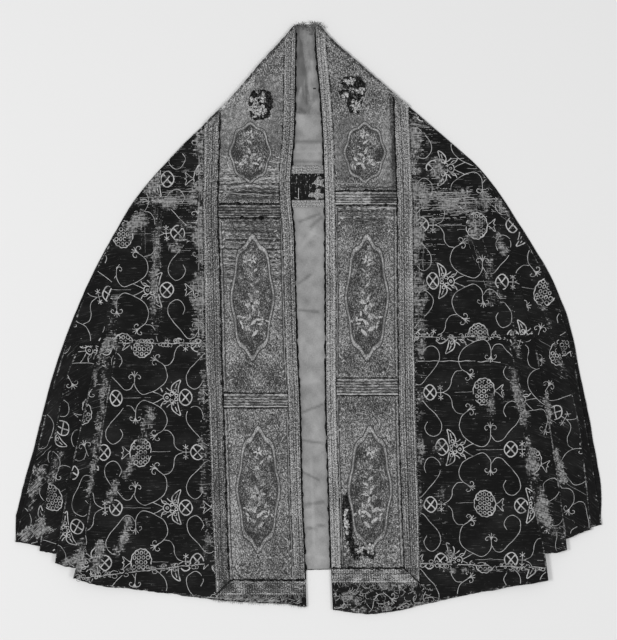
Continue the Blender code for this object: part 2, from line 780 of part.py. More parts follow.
def build_cope():
    start_empty()
    velvet = make_material("velvet", (0.020, 0.020, 0.021), 0.9)
    lining = make_material("lining", (0.33, 0.33, 0.34), 0.8)
    needlework = make_material("needlework", (0.20, 0.20, 0.20), 0.75)
    guard = make_material("guard_braid", (0.27, 0.27, 0.27), 0.7)
    band = make_material("ribbed_band", (0.23, 0.23, 0.23), 0.7)
    applied = make_material("applied_work", (0.31, 0.31, 0.31), 0.65)
    build_back(velvet, needlework)
    build_lining(lining)
    build_strap(velvet, guard)
    for side in ("left", "right"):
        upper_width(side, velvet)
        lower_width(f"{side}_front_middle_width", side, range(MIDDLE_ROWS), velvet)
        bottom = range(MIDDLE_ROWS, MIDDLE_ROWS + len(BOTTOM_ROWS))
        lower_width(f"{side}_front_bottom_width", side, bottom, velvet)
        side_folds(side, velvet)
        build_guards(side, guard)
        build_panels(side, needlework, band)
        for name, depth, half_width, half_height in DEVICES:
            device(f"{side}_device_{name}", side, depth, half_width, half_height, applied)


if __name__ == "__main__":
    build_cope()
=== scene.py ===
# %% [markdown]
# # A velvet cope, laid flat
# A cope is a half circle of cloth that is worn as a cloak. This one lies on its back with its two fronts
# brought to the middle, so it reads as a bell with a narrow opening. Three knife pleats at each side draw
# the hem in. The CAD model gives every piece its place, and this lesson dresses each of them in cloth.

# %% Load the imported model
import math
from functools import partial

import bmesh
import bpy
import numpy as np
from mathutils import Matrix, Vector


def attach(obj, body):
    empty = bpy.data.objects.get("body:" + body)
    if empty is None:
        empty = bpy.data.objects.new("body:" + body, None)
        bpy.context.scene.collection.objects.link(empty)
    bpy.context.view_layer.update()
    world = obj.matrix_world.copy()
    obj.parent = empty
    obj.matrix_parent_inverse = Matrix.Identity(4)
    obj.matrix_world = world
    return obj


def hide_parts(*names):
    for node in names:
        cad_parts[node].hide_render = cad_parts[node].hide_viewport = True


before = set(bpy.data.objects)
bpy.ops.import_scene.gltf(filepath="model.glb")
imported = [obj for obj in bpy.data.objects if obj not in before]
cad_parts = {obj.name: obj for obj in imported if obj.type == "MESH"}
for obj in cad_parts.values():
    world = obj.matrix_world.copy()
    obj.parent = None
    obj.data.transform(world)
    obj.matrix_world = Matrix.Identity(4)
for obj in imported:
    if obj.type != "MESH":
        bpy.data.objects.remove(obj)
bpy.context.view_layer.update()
scene = bpy.context.scene

# %% [markdown]
# ## Sizes
# The CAD model is worked out from a few tables, and the cloth has to lie on it within a millimetre. So the
# same sizes are given again here. A depth is measured down from the neck, and an offset sideways from the
# middle of the opening.

# %% Sizes of the cope, in metres
# The neck's place in y, the thickness of the velvet, and the height of the fronts' top
NECK_Y = 0.72275
CLOTH = 0.0020
FRONT_Z = 0.0070
# Where the orphrey's pieces start, and the thickness of a panel, a guard and a cross band
PANEL_Z, PANEL, GUARD, BAND = 0.0074, 0.0014, 0.0024, 0.0026
PANEL_TOP, GUARD_TOP = PANEL_Z + PANEL, PANEL_Z + GUARD
# What an opened pleat adds, the gap between two layers, and the lowest height of a rolled edge
PLEAT_RISE = 0.0040
LAYER_GAP = 0.0006
EDGE_FLOOR_Z = 0.0024
# How far from the orphrey the velvet starts to climb, and how far from the first fold it stops
FIELD_START, FIELD_END = 0.012, 0.025
# For each side: its sign in x, the depths of its seams (the second one leans), the inner guard's width, and
# the depths of its cross bands, its bottom guard and the hems of its pleats
SIGN = {"left": -1, "right": 1}
FIRST_SEAM = {"left": 0.782, "right": 0.767}
SECOND_SEAM = {"left": (1.320, 0.108), "right": (1.321, 0.030)}
INNER_GUARD = {"left": 0.0275, "right": 0.0250}
BANDS = {
    "left": ((0.4410, 0.4750), (0.9040, 0.9410)),
    "right": ((0.4090, 0.4435), (0.8670, 0.9110)),
}
BOTTOM_GUARD = {"left": (1.362, 1.399), "right": (1.333, 1.369)}
PLEAT_HEMS = {
    "right": ((1.298, 1.290), (1.262, 1.238), (1.230, 1.227)),
    "left": ((1.334, 1.322), (1.298, 1.290), (1.281, 1.269)),
}

# %% Sections of the garment: a row for each depth
SECTION_COLUMNS = ("depth", "front_edge", "guard_seam", "orphrey_edge", "outline")
SECTIONS = {
    "right": (
        (0.000, 0.016, 0.203, 0.243, 0.023),
        (0.050, 0.018, 0.204, 0.244, 0.070),
        (0.100, 0.022, 0.206, 0.244, 0.128),
        (0.186, 0.030, 0.209, 0.245, 0.227),
        (0.284, 0.036, 0.212, 0.248, 0.342),
        (0.358, 0.038, 0.215, 0.251, 0.420),
        (0.431, 0.040, 0.217, 0.254, 0.474),
        (0.505, 0.041, 0.218, 0.255, 0.518),
        (0.578, 0.041, 0.218, 0.256, 0.560),
        (0.652, 0.042, 0.219, 0.257, 0.597),
        (0.725, 0.042, 0.219, 0.257, 0.625),
        (0.799, 0.042, 0.220, 0.258, 0.646),
        (0.921, 0.043, 0.221, 0.262, 0.668),
        (1.044, 0.046, 0.224, 0.265, 0.690),
        (1.166, 0.050, 0.228, 0.269, 0.709),
        (1.227, 0.052, 0.230, 0.270, 0.719),
        (1.350, 0.056, 0.236, 0.272, 0.736),
        (1.446, 0.060, 0.238, 0.274, 0.746),
    ),
    "left": (
        (0.000, 0.031, 0.216, 0.254, 0.031),
        (0.050, 0.031, 0.216, 0.254, 0.075),
        (0.100, 0.032, 0.216, 0.254, 0.121),
        (0.186, 0.033, 0.216, 0.254, 0.195),
        (0.284, 0.036, 0.218, 0.255, 0.295),
        (0.358, 0.043, 0.220, 0.256, 0.366),
        (0.431, 0.043, 0.222, 0.258, 0.425),
        (0.505, 0.036, 0.221, 0.257, 0.469),
        (0.578, 0.034, 0.218, 0.256, 0.508),
        (0.652, 0.032, 0.216, 0.254, 0.543),
        (0.725, 0.030, 0.214, 0.253, 0.572),
        (0.799, 0.028, 0.213, 0.252, 0.599),
        (0.921, 0.022, 0.209, 0.245, 0.636),
        (1.044, 0.019, 0.205, 0.240, 0.665),
        (1.166, 0.016, 0.201, 0.237, 0.695),
        (1.269, 0.011, 0.198, 0.232, 0.719),
        (1.350, 0.008, 0.195, 0.228, 0.735),
        (1.446, 0.004, 0.193, 0.224, 0.750),
    ),
}

# %% Folds and hems
FOLD_COLUMNS = ("depth", "fold_a", "fold_b", "fold_c")
FOLDS = {
    "right": (
        (0.529, 0.430, 0.479, 0.510),
        (0.652, 0.455, 0.521, 0.565),
        (0.767, 0.477, 0.552, 0.600),
        (0.799, 0.497, 0.559, 0.614),
        (0.884, 0.513, 0.574, 0.640),
        (0.946, 0.521, 0.585, 0.656),
        (1.019, 0.530, 0.597, 0.669),
        (1.105, 0.543, 0.610, 0.679),
        (1.191, 0.557, 0.622, 0.688),
        (1.289, 0.577, 0.633, 0.698),
        (1.365, 0.587, 0.640, 0.704),
    ),
    "left": (
        (0.554, 0.430, 0.460, 0.480),
        (0.652, 0.448, 0.483, 0.515),
        (0.782, 0.469, 0.510, 0.560),
        (0.848, 0.481, 0.527, 0.588),
        (0.921, 0.494, 0.543, 0.607),
        (0.995, 0.506, 0.560, 0.620),
        (1.068, 0.516, 0.576, 0.631),
        (1.166, 0.533, 0.595, 0.645),
        (1.264, 0.550, 0.612, 0.656),
        (1.310, 0.563, 0.619, 0.661),
        (1.355, 0.575, 0.625, 0.665),
    ),
}
HEM_COLUMNS = ("offset", "depth")
HEMS = {
    "right": (
        (0.058, 1.4360), (0.143, 1.4455), (0.231, 1.4360), (0.330, 1.4110),
        (0.447, 1.3870), (0.518, 1.3745), (0.587, 1.3620),
    ),
    "left": (
        (0.004, 1.4280), (0.058, 1.4210), (0.168, 1.4160), (0.229, 1.4110),
        (0.339, 1.3965), (0.413, 1.3870), (0.511, 1.3745), (0.575, 1.3550),
    ),
}

# %% Rolled edges and soft ridges
ROLL = (
    # how far in from a fold's edge, and how far its top and its underside drop there
    (0.0100, 0.00000, 0.00000), (0.0040, 0.00035, 0.00020), (0.0012, 0.00120, 0.00090),
    (0.0, 0.00240, 0.00180),
)
RIDGES = {
    "right": (
        (0.350, 0.560, 0.390, 1.250, 0.034, 0.0018), (0.420, 0.840, 0.475, 1.400, 0.030, 0.0022),
    ),
    "left": (
        (0.385, 0.900, 0.470, 1.190, 0.032, 0.0022), (0.330, 0.600, 0.345, 1.050, 0.030, 0.0016),
        (0.400, 1.180, 0.440, 1.380, 0.028, 0.0016),
    ),
}

# %% [markdown]
# ## Reading the tables
# A table gives a value at a few depths, and cloth runs smoothly between them. The helper below draws a
# smooth curve through the rows, and takes a whole array of depths at once, because a cloth mesh has
# thousands of points.


# %% Smooth curves through the tables
def curve_at(rows, columns, wanted, at):
    """One column of a table at each place in at, on a smooth curve through its rows."""
    table = np.array(rows, float)
    places, values = table[:, 0], table[:, columns.index(wanted)]
    at = np.clip(np.asarray(at, float), places[0], places[-1])
    index = np.clip(np.searchsorted(places, at, side="left") - 1, 0, len(places) - 2)
    row = np.arange(len(places))
    low, high = np.maximum(row - 1, 0), np.minimum(row + 1, len(places) - 1)
    slopes = (values[high] - values[low]) / (places[high] - places[low])
    span = places[index + 1] - places[index]
    t = (at - places[index]) / span
    return (
        (2 * t**3 - 3 * t**2 + 1) * values[index]
        + (t**3 - 2 * t**2 + t) * span * slopes[index]
        + (3 * t**2 - 2 * t**3) * values[index + 1]
        + (t**3 - t**2) * span * slopes[index + 1]
    )


def section(side, wanted, depth):
    return curve_at(SECTIONS[side], SECTION_COLUMNS, wanted, depth)


def front_edge(side, depth):
    return section(side, "front_edge", depth)


def orphrey_edge(side, depth):
    return section(side, "orphrey_edge", depth)


def outline(side, depth):
    return section(side, "outline", depth)


def fold(side, wanted, depth):
    return curve_at(FOLDS[side], FOLD_COLUMNS, wanted, depth)


def hem(side, offset):
    return curve_at(HEMS[side], HEM_COLUMNS, "depth", offset)


def second_seam(side, offset):
    depth, lean = SECOND_SEAM[side]
    return depth + lean * np.maximum(0.0, offset - orphrey_edge(side, depth))


def smoothstep(value):
    value = np.clip(value, 0.0, 1.0)
    return value * value * (3 - 2 * value)


print("width of the hem:", float(outline("left", 1.269) + outline("right", 1.227)))

# %% [markdown]
# ## How high the cloth lies
# The opening lies on the lining alone. Each pleat adds the height of two layers of cloth where it has
# opened, so the fronts climb towards their first fold and then step down, fold by fold, to the edge.


# %% Heights of the fronts and the pleats
def opened(side, pleat, depth):
    first = FIRST_SEAM[side]
    start, full, least = {"a": (first, 1.00, 0.0), "b": (0.50, 1.00, 0.0), "c": (0.86, 1.06, 0.08)}[pleat]
    return np.maximum(least, smoothstep((depth - start) / (full - start)))


def pleat_tops(side, depth):
    """Tops of the first and second pleat. The third lies at the height of the open velvet."""
    second = FRONT_Z + PLEAT_RISE * opened(side, "c", depth)
    return second + PLEAT_RISE * opened(side, "b", depth), second, FRONT_Z


def crest(side, depth):
    return pleat_tops(side, depth)[0] + PLEAT_RISE * opened(side, "a", depth)


def along_line(row, offset, depth):
    """How near each point is to a line of a table, from 0 to 1, and how far along the line it lies."""
    x0, d0, x1, d1, half_width = row[:5]
    dx, dd = x1 - x0, d1 - d0
    length = math.hypot(dx, dd)
    along = ((offset - x0) * dx + (depth - d0) * dd) / length**2
    away = np.abs((offset - x0) * dd - (depth - d0) * dx) / length
    ends = smoothstep(along / 0.16 + 0.25) * smoothstep((1 - along) / 0.16 + 0.25)
    return smoothstep(1 - away / half_width) * ends, along


def ridge_height(side, offset, depth):
    total = np.zeros(np.broadcast(offset, depth).shape)
    for x0, d0, x1, d1, half_width, height in RIDGES[side]:
        along = (depth - d0) / (d1 - d0)
        away = np.abs(offset - (x0 + (x1 - x0) * along)) / half_width
        inside = (along > 0) & (along < 1)
        total += np.where(inside, height * np.sin(np.pi * np.clip(along, 0, 1)) * smoothstep(1 - away), 0.0)
    return total


# %% [markdown]
# ## Creases
# Old velvet never lies quite flat. Long creases fan out from the neck, and short ones run across the worn
# places. The long ones are listed one by one, as soft troughs and ridges of uneven depth. The rest is a slow
# ripple, made of a few sine waves with set directions, which is the same at every run.

# %% Creases listed one by one, and the ripple between them
CREASES = {
    # start offset, depth; end offset, depth; half width, height (a trough is negative)
    "right": (
        (0.300, 0.300, 0.395, 0.560, 0.012, -0.0010), (0.375, 0.400, 0.470, 0.610, 0.014, 0.0011),
        (0.480, 0.520, 0.512, 0.700, 0.009, -0.0016), (0.305, 0.620, 0.322, 0.980, 0.013, -0.0009),
        (0.450, 0.790, 0.492, 1.060, 0.010, -0.0012), (0.385, 0.980, 0.402, 1.330, 0.016, -0.0012),
        (0.500, 1.080, 0.540, 1.350, 0.011, -0.0013), (0.300, 1.120, 0.306, 1.400, 0.014, 0.0009),
        (0.440, 1.240, 0.452, 1.385, 0.010, 0.0009),
    ),
    "left": (
        (0.300, 0.330, 0.375, 0.560, 0.012, -0.0011), (0.352, 0.430, 0.440, 0.640, 0.013, 0.0012),
        (0.410, 0.560, 0.452, 0.760, 0.010, -0.0013), (0.300, 0.640, 0.300, 0.960, 0.013, -0.0009),
        (0.430, 0.820, 0.462, 1.060, 0.010, -0.0012), (0.350, 0.960, 0.392, 1.170, 0.012, -0.0010),
        (0.490, 1.100, 0.532, 1.340, 0.011, -0.0014), (0.290, 1.100, 0.285, 1.380, 0.014, 0.0010),
        (0.460, 1.230, 0.490, 1.370, 0.009, 0.0010),
    ),
}


def ripple(x, y, shortest, longest, seed, stretch=1.0):
    """A smooth, uneven surface between about -1 and 1, longer along y where stretch is over 1."""
    rng = np.random.default_rng(seed)
    total = np.zeros(np.broadcast(x, y).shape)
    for _ in range(16):
        turn, phase = rng.uniform(0, 2 * np.pi, 2)
        size = rng.uniform(shortest, longest)
        total += np.sin(2 * np.pi * (x * np.cos(turn) + y * np.sin(turn) / stretch) / size + phase)
    return total / 4.0


def creases(side, offset, depth):
    total = np.zeros(np.broadcast(offset, depth).shape)
    for row in CREASES[side]:
        near, along = along_line(row, offset, depth)
        total += row[5] * near * (0.75 + 0.25 * np.sin(9 * along + 40 * row[0]))
    seed = 3 if side == "left" else 4
    total += 0.00045 * ripple(offset, depth, 0.05, 0.16, seed, 2.2)
    total += 0.00016 * ripple(offset, depth, 0.016, 0.040, seed + 9, 1.4)
    return total * smoothstep((offset - orphrey_edge(side, depth) - 0.006) / 0.03)


# %% Height of each part of the visible velvet
def upper_top(side, offset, depth):
    start = orphrey_edge(side, depth) + FIELD_START
    fold_b = fold(side, "fold_b", depth)
    first = FRONT_Z + PLEAT_RISE * opened(side, "b", depth)
    outside = FRONT_Z + (first - FRONT_Z) * smoothstep(1 - (offset - fold_b) / 0.012)
    rise = smoothstep((offset - start) / (fold_b - 0.03 - start))
    inside = FRONT_Z + (first - FRONT_Z) * rise + ridge_height(side, offset, depth)
    high = np.where(offset > fold_b, outside, inside)
    flat = (depth < FOLDS[side][0][0] - 0.08) | (offset < start)
    edge = smoothstep((outline(side, depth) - offset) / 0.02)
    return np.where(flat, FRONT_Z, high) + creases(side, offset, depth) * edge


def lower_top(side, offset, depth):
    fold_a = fold(side, "fold_a", depth)
    start = np.maximum(orphrey_edge(side, depth) + FIELD_START, fold_a - 0.24)
    rise = smoothstep((offset - start) / (fold_a - FIELD_END - start))
    high = FRONT_Z + (crest(side, depth) - FRONT_Z) * rise + ridge_height(side, offset, depth)
    edge = smoothstep((fold_a - offset) / 0.02)
    return np.where(offset < start, FRONT_Z, high) + creases(side, offset, depth) * edge


def roll(inset, column):
    """How much a fold's edge drops at a distance in from it."""
    places = [row[0] for row in ROLL][::-1]
    return np.interp(inset, places, [row[column] for row in ROLL][::-1])


print("height of the fold at the hem:", float(crest("right", 1.3)))

# %% [markdown]
# ## Making cloth from rows of points
# Every piece of cloth here is a closed wall: a grid of points for its face, a second grid for its
# underside, and a rim that joins them. A wall has a real thickness, so the hem and the fold edges look
# right from the side. Each point also keeps where it lies on the flat cloth (its UV) and its wear value,
# which along the folds is partly painted sheen, because the weave, the wear and that sheen follow those.


# %% The wall builder
def place(side, offset, depth, height):
    sign = SIGN.get(side, 1)
    return np.stack(np.broadcast_arrays(sign * offset, NECK_Y - depth, height), axis=-1).astype(float)


def wide_cells(index, step):
    """Faces over a grid of points, step by step points wide, that keep every point along the grid's rim."""
    last_row, last_column = index.shape[0] - 1, index.shape[1] - 1
    rows = [*range(0, last_row, step), last_row]
    columns = [*range(0, last_column, step), last_column]
    faces = []
    for top, low in zip(rows, rows[1:]):
        for left, right in zip(columns, columns[1:]):
            edges = (
                index[top:low + 1:1 if left == 0 else low - top, left],
                index[low, left:right + 1:1 if low == last_row else right - left],
                index[top:low + 1:1 if right == last_column else low - top, right][::-1],
                index[top, left:right + 1:1 if top == 0 else right - left][::-1],
            )
            faces.append(np.concatenate([edge[:-1] for edge in edges]))
    return faces


def wall_data(top, underside, flip, step=3):
    """Vertices and faces of a closed wall between two grids, and each vertex's place in the grid.

    The underside takes one face for step by step faces of the top, because nobody sees it.
    """
    index = np.arange(top[..., 0].size).reshape(top.shape[:2])
    a, b = index[:-1, :-1].ravel(), index[1:, :-1].ravel()
    c, d = index[1:, 1:].ravel(), index[:-1, 1:].ravel()
    under = [face[::-1] + index.size for face in wide_cells(index, step)]
    rim = np.concatenate([index[0, :-1], index[:-1, -1], index[-1, :0:-1], index[:0:-1, 0]])
    after = np.roll(rim, -1)
    rims = np.stack([rim, after, after + index.size, rim + index.size], 1)
    faces = [*np.stack([a, b, c, d], 1), *under, *rims]
    kept = np.concatenate([index.ravel(), np.unique(np.concatenate(under))])
    numbers = np.zeros(2 * index.size, int)
    numbers[kept] = np.arange(len(kept))
    faces = [numbers[face[::-1] if flip else face].tolist() for face in faces]
    vertices = np.concatenate([top.reshape(-1, 3), underside.reshape(-1, 3)])[kept]
    return vertices, faces, kept % index.size


# %% From points to an object, with values at each point
def new_object(name, vertices, edges=(), faces=()):
    mesh = bpy.data.meshes.new(name)
    mesh.from_pydata([tuple(v) for v in vertices], [tuple(e) for e in edges], [tuple(f) for f in faces])
    made = bpy.data.objects.new(name, mesh)
    scene.collection.objects.link(made)
    return made


# For each wall, the place in its grid of every vertex
GRID_PLACES = {}


def set_value(made, name, values):
    """Stores a value at each point. A wall's values come for its grid, and its two sides share them."""
    values = np.asarray(values, np.float32).ravel()
    if made.name in GRID_PLACES:
        values = values[GRID_PLACES[made.name]]
    made.data.attributes.new(name, "FLOAT", "POINT").data.foreach_set("value", values)


def add_mesh(name, vertices, faces, material, uv=None):
    made = new_object(name, vertices, (), faces)
    mesh = made.data
    if uv is not None:
        corners = np.empty(len(mesh.loops), np.int32)
        mesh.loops.foreach_get("vertex_index", corners)
        mesh.uv_layers.new(name="cloth").uv.foreach_set("vector", np.asarray(uv, np.float32)[corners].ravel())
    mesh.shade_smooth()
    mesh.set_sharp_from_angle(angle=math.radians(50))
    mesh.materials.append(material)
    return made


# %% Walls of cloth
def joined(parts):
    """The vertices and faces of several pieces as those of one."""
    vertices, faces, count = [], [], 0
    for points, corners, *_ in parts:
        vertices.append(points)
        faces += [[int(corner) + count for corner in face] for face in corners]
        count += len(points)
    return np.concatenate(vertices), faces


def grid_area(points):
    across, down = np.diff(points, axis=1)[:-1], np.diff(points, axis=0)[:, :-1]
    return float(np.linalg.norm(np.cross(across, down), axis=-1).sum())


def wall_part(side, offsets, depths, top, underside, uv, step=3):
    """A closed wall of cloth: its vertices, faces, UV, places in the grid and cut area."""
    face = place(side, offsets, depths, top)
    vertices, faces, places = wall_data(face, place(side, offsets, depths, underside), SIGN[side] < 0, step)
    return vertices, faces, np.stack(uv, -1).reshape(-1, 2)[places], places, grid_area(face)


def wall(name, side, offsets, depths, top, underside, material, uv, wear_and_sheen=None, step=3):
    """One closed wall of cloth. Offsets, depths and the top's heights are grids of the same shape."""
    vertices, faces, uv, places, area = wall_part(side, offsets, depths, top, underside, uv, step)
    made = add_mesh(name, vertices, faces, material, uv)
    GRID_PLACES[name] = places
    if wear_and_sheen is not None:
        set_value(made, "wear_and_sheen", wear_and_sheen)
    made["flat_area"] = area
    return made


# %% Tying a piece to the model
def lay(piece, slot, node=None, cut=None):
    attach(piece, "root")
    if node:
        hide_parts(node)
    if cut:
        area = min(piece["flat_area"], 0.999 * cut[0] * cut[1])
    return piece


# %% [markdown]
# ## Finishes
# A helper keeps the node code short: it adds a node, sets its options, and fills or links its inputs.
# Whatever is the same all over a finish is set straight on the shader's own socket, because an exporter
# reads it there.


# %% Helpers for finishes
def add(tree, kind, inputs=None, **settings):
    made = tree.nodes.new(kind)
    for setting, value in settings.items():
        setattr(made, setting, value)
    for socket, value in (inputs or {}).items():
        if isinstance(value, bpy.types.NodeSocket):
            tree.links.new(value, made.inputs[socket])
        else:
            made.inputs[socket].default_value = value
    return made


def new_finish(name, roughness, sheen=0.0, sheen_roughness=0.5, specular=0.3):
    material = bpy.data.materials.new(name)
    material.use_nodes = True
    shader = material.node_tree.nodes["Principled BSDF"]
    shader.inputs["Roughness"].default_value = roughness
    shader.inputs["Specular IOR Level"].default_value = specular
    shader.inputs["Sheen Weight"].default_value = sheen
    shader.inputs["Sheen Roughness"].default_value = sheen_roughness
    return material, material.node_tree, shader


def texture_place(tree, source, scale=(1, 1), turn=0.0):
    """Coordinates for a texture: the cloth's own UV or the object's, stretched by a scale."""
    if source == "cloth":
        start = add(tree, "ShaderNodeUVMap", uv_map="cloth").outputs["UV"]
    else:
        start = add(tree, "ShaderNodeTexCoord").outputs["Object"]
    mapped = add(tree, "ShaderNodeMapping", {"Vector": start, "Scale": (*scale, 1), "Rotation": (0, 0, turn)})
    return mapped.outputs["Vector"]


def noise(tree, source, scale, detail=2.0, rough=0.5, turn=0.0):
    """Noise over the cloth or the object. It is stretched where its scale is two numbers."""
    stretched = isinstance(scale, tuple)
    where = texture_place(tree, source, scale, turn) if stretched else texture_place(tree, source)
    inputs = {"Vector": where, "Scale": 1.0 if stretched else scale, "Detail": detail, "Roughness": rough}
    return add(tree, "ShaderNodeTexNoise", inputs).outputs["Fac"]


def attribute(tree, name):
    return add(tree, "ShaderNodeAttribute", attribute_name=name, attribute_type="GEOMETRY").outputs["Fac"]


# %% Helpers that mix values and colours
def math_node(tree, operation, *values):
    return add(tree, "ShaderNodeMath", dict(enumerate(values)), operation=operation).outputs[0]


def weighted(tree, *terms):
    """The sum of values, each times its weight."""
    total = 0.0
    for value, weight in terms:
        total = math_node(tree, "MULTIPLY_ADD", value, weight, total)
    return total


def remap(tree, value, low, high, to_low=0.0, to_high=1.0):
    names = ("Value", "From Min", "From Max", "To Min", "To Max")
    inputs = dict(zip(names, (value, low, high, to_low, to_high)))
    return add(tree, "ShaderNodeMapRange", inputs, interpolation_type="SMOOTHSTEP").outputs["Result"]


def blend(tree, share, first, second, kind="MIX"):
    """A colour between two, or one laid over the other."""
    made = add(tree, "ShaderNodeMix", data_type="RGBA", blend_type=kind)
    for socket, value in ((made.inputs[0], share), (made.inputs[6], first), (made.inputs[7], second)):
        if isinstance(value, bpy.types.NodeSocket):
            tree.links.new(value, socket)
        else:
            socket.default_value = value
    return made.outputs[2]


def grey(value):
    return (value, value, value, 1.0)


def ramp(tree, value, stops):
    """Greys along a value. The ramp itself runs from 0 to 1, so the value is first brought to that range."""
    low, high = stops[0][0], stops[-1][0]
    value = math_node(tree, "DIVIDE", math_node(tree, "SUBTRACT", value, low), high - low)
    made = add(tree, "ShaderNodeValToRGB", {"Fac": value})
    elements = made.color_ramp.elements
    while len(elements) < len(stops):
        elements.new(0.5)
    for element, (position, tone) in zip(elements, stops):
        element.position, element.color = (position - low) / (high - low), grey(tone)
    return made.outputs["Color"]


def bump(tree, shader, height, distance, strength):
    made = add(tree, "ShaderNodeBump", {"Height": height, "Distance": distance, "Strength": strength})
    tree.links.new(made.outputs["Normal"], shader.inputs["Normal"])


# %% [markdown]
# ## Velvet
# Velvet is a forest of short, cut threads over a plain ground. It takes in light from the front and gives a
# soft sheen at its edges, so its colour is almost black here. Where the pile has worn away, the ground
# weave shows as broken, pale streaks that run along the weft. The streaks are a noise that is stretched
# along the cloth's own UV, and each point's wear value decides how much of it comes through. Along the
# folds that value is partly painted sheen: a grey haze over the pile stands in for the light that the
# folds catch. The blacks of the pile vary in patches of crushed pile, whose sheen is painted in too.


# %% The velvet
def make_velvet():
    material, tree, shader = new_finish("cut_velvet", 0.92, 0.08, 0.45, 0.10)
    # The wear value: wear, and along the folds painted sheen
    worn = attribute(tree, "wear_and_sheen")
    streaks = noise(tree, "cloth", (24, 520), 3.0, 0.62)
    across = noise(tree, "cloth", (420, 60), 2.0, 0.6)
    specks = noise(tree, "cloth", (300, 360), 3.0, 0.7)
    patches = noise(tree, "cloth", (34, 52), 5.0, 0.65)
    blots = noise(tree, "cloth", (150, 190), 2.0, 0.55)
    # Patches of crushed pile: their sheen is painted in as lighter and darker blacks
    crushed_pile_sheen = noise(tree, "cloth", (9, 15), 5.0, 0.62, 0.3)
    level = weighted(
        tree, (streaks, 0.80), (specks, 0.70), (across, 0.40), (blots, 1.10), (patches, 0.80), (worn, 0.66)
    )
    bare = remap(tree, level, 2.25, 2.38)
    sound = remap(tree, patches, 0.40, 0.60)
    fine = math_node(tree, "MULTIPLY", remap(tree, streaks, 0.53, 0.72, 0.0, 0.22), sound)
    dust = remap(tree, specks, 0.66, 0.80, 0.0, 0.16)
    near = remap(tree, level, 1.98, 2.32, 0.10, 1.0)
    # A grey haze that grows with the wear value: worn pile, and along the folds a painted sheen
    shown = math_node(tree, "MULTIPLY", remap(tree, worn, 0.14, 0.74, 0.0, 0.46), near)
    for other in (dust, fine, bare):
        shown = math_node(tree, "MAXIMUM", other, shown)
    dark = ramp(tree, crushed_pile_sheen, ((0.25, 0.0040), (0.5, 0.0062), (0.78, 0.017)))
    grid = weighted(tree, (across, 0.8), (blots, 0.8), (streaks, 1.0))
    ground = ramp(tree, grid, ((1.12, 0.040), (1.32, 0.15), (1.54, 0.36)))
    tree.links.new(blend(tree, shown, dark, ground), shader.inputs["Base Color"])
    pile = noise(tree, "object", 1500.0)
    height = math_node(tree, "MULTIPLY_ADD", pile, 0.6, math_node(tree, "MULTIPLY", specks, shown))
    bump(tree, shader, height, 0.0007, 0.6)
    return material


VELVET = make_velvet()

# %% Where the velvet is worn, and where sheen is painted along its folds
WEAR_AND_SHEEN = {
    # start offset and depth, end offset and depth, half width, strength
    "right": (
        (0.246, 0.420, 0.455, 0.440, 0.050, 0.62), (0.420, 0.405, 0.530, 0.505, 0.034, 0.46),
        (0.250, 0.200, 0.262, 0.770, 0.040, 0.74), (0.262, 0.215, 0.330, 0.240, 0.040, 0.60),
        (0.280, 0.640, 0.264, 1.330, 0.018, 0.42), (0.300, 0.330, 0.330, 0.400, 0.034, 0.60),
        (0.385, 0.470, 0.420, 0.520, 0.036, 0.60), (0.450, 0.490, 0.486, 0.570, 0.020, 0.56),
        (0.440, 0.560, 0.462, 0.700, 0.030, 0.36), (0.500, 0.690, 0.520, 0.860, 0.016, 0.40),
        (0.496, 0.830, 0.534, 1.000, 0.020, 0.72), (0.534, 1.000, 0.568, 1.210, 0.020, 0.62),
        (0.564, 1.120, 0.586, 1.260, 0.022, 0.80), (0.577, 0.880, 0.596, 0.980, 0.013, 0.62),
        (0.604, 1.030, 0.628, 1.130, 0.016, 0.70), (0.310, 1.000, 0.345, 1.330, 0.022, 0.34),
        (0.600, 1.230, 0.633, 1.290, 0.024, 0.50), (0.400, 0.930, 0.480, 0.930, 0.060, 0.24),
        (0.545, 0.600, 0.640, 0.900, 0.016, 0.22), (0.300, 1.340, 0.560, 1.335, 0.012, 0.36),
        (0.080, 1.400, 0.125, 1.410, 0.050, 0.50), (0.150, 1.380, 0.270, 1.372, 0.020, 0.44),
        (0.080, 1.438, 0.300, 1.425, 0.016, 0.46),
    ),
    "left": (
        (0.250, 0.430, 0.440, 0.436, 0.034, 0.56), (0.252, 0.250, 0.262, 0.790, 0.040, 0.76),
        (0.350, 0.360, 0.400, 0.420, 0.034, 0.66), (0.400, 0.460, 0.450, 0.520, 0.034, 0.78),
        (0.372, 0.430, 0.374, 0.780, 0.026, 0.50), (0.262, 0.740, 0.250, 1.330, 0.018, 0.44),
        (0.300, 0.480, 0.330, 0.560, 0.034, 0.52), (0.468, 0.660, 0.480, 0.800, 0.018, 0.50),
        (0.480, 0.700, 0.506, 0.930, 0.016, 0.56), (0.504, 0.920, 0.538, 1.170, 0.015, 0.62),
        (0.500, 0.780, 0.530, 0.900, 0.014, 0.62), (0.385, 0.930, 0.410, 1.040, 0.024, 0.58),
        (0.410, 1.040, 0.498, 1.175, 0.022, 0.54), (0.436, 1.205, 0.470, 1.310, 0.022, 0.66),
        (0.548, 1.250, 0.560, 1.345, 0.020, 0.78), (0.508, 1.260, 0.520, 1.350, 0.020, 0.74),
        (0.640, 1.220, 0.700, 1.262, 0.034, 0.70), (0.560, 1.300, 0.610, 1.326, 0.020, 0.52),
        (0.610, 1.040, 0.640, 1.130, 0.022, 0.42), (0.650, 1.080, 0.690, 1.200, 0.026, 0.46),
        (0.300, 1.328, 0.480, 1.338, 0.012, 0.36), (0.030, 1.422, 0.230, 1.398, 0.014, 0.66),
    ),
}


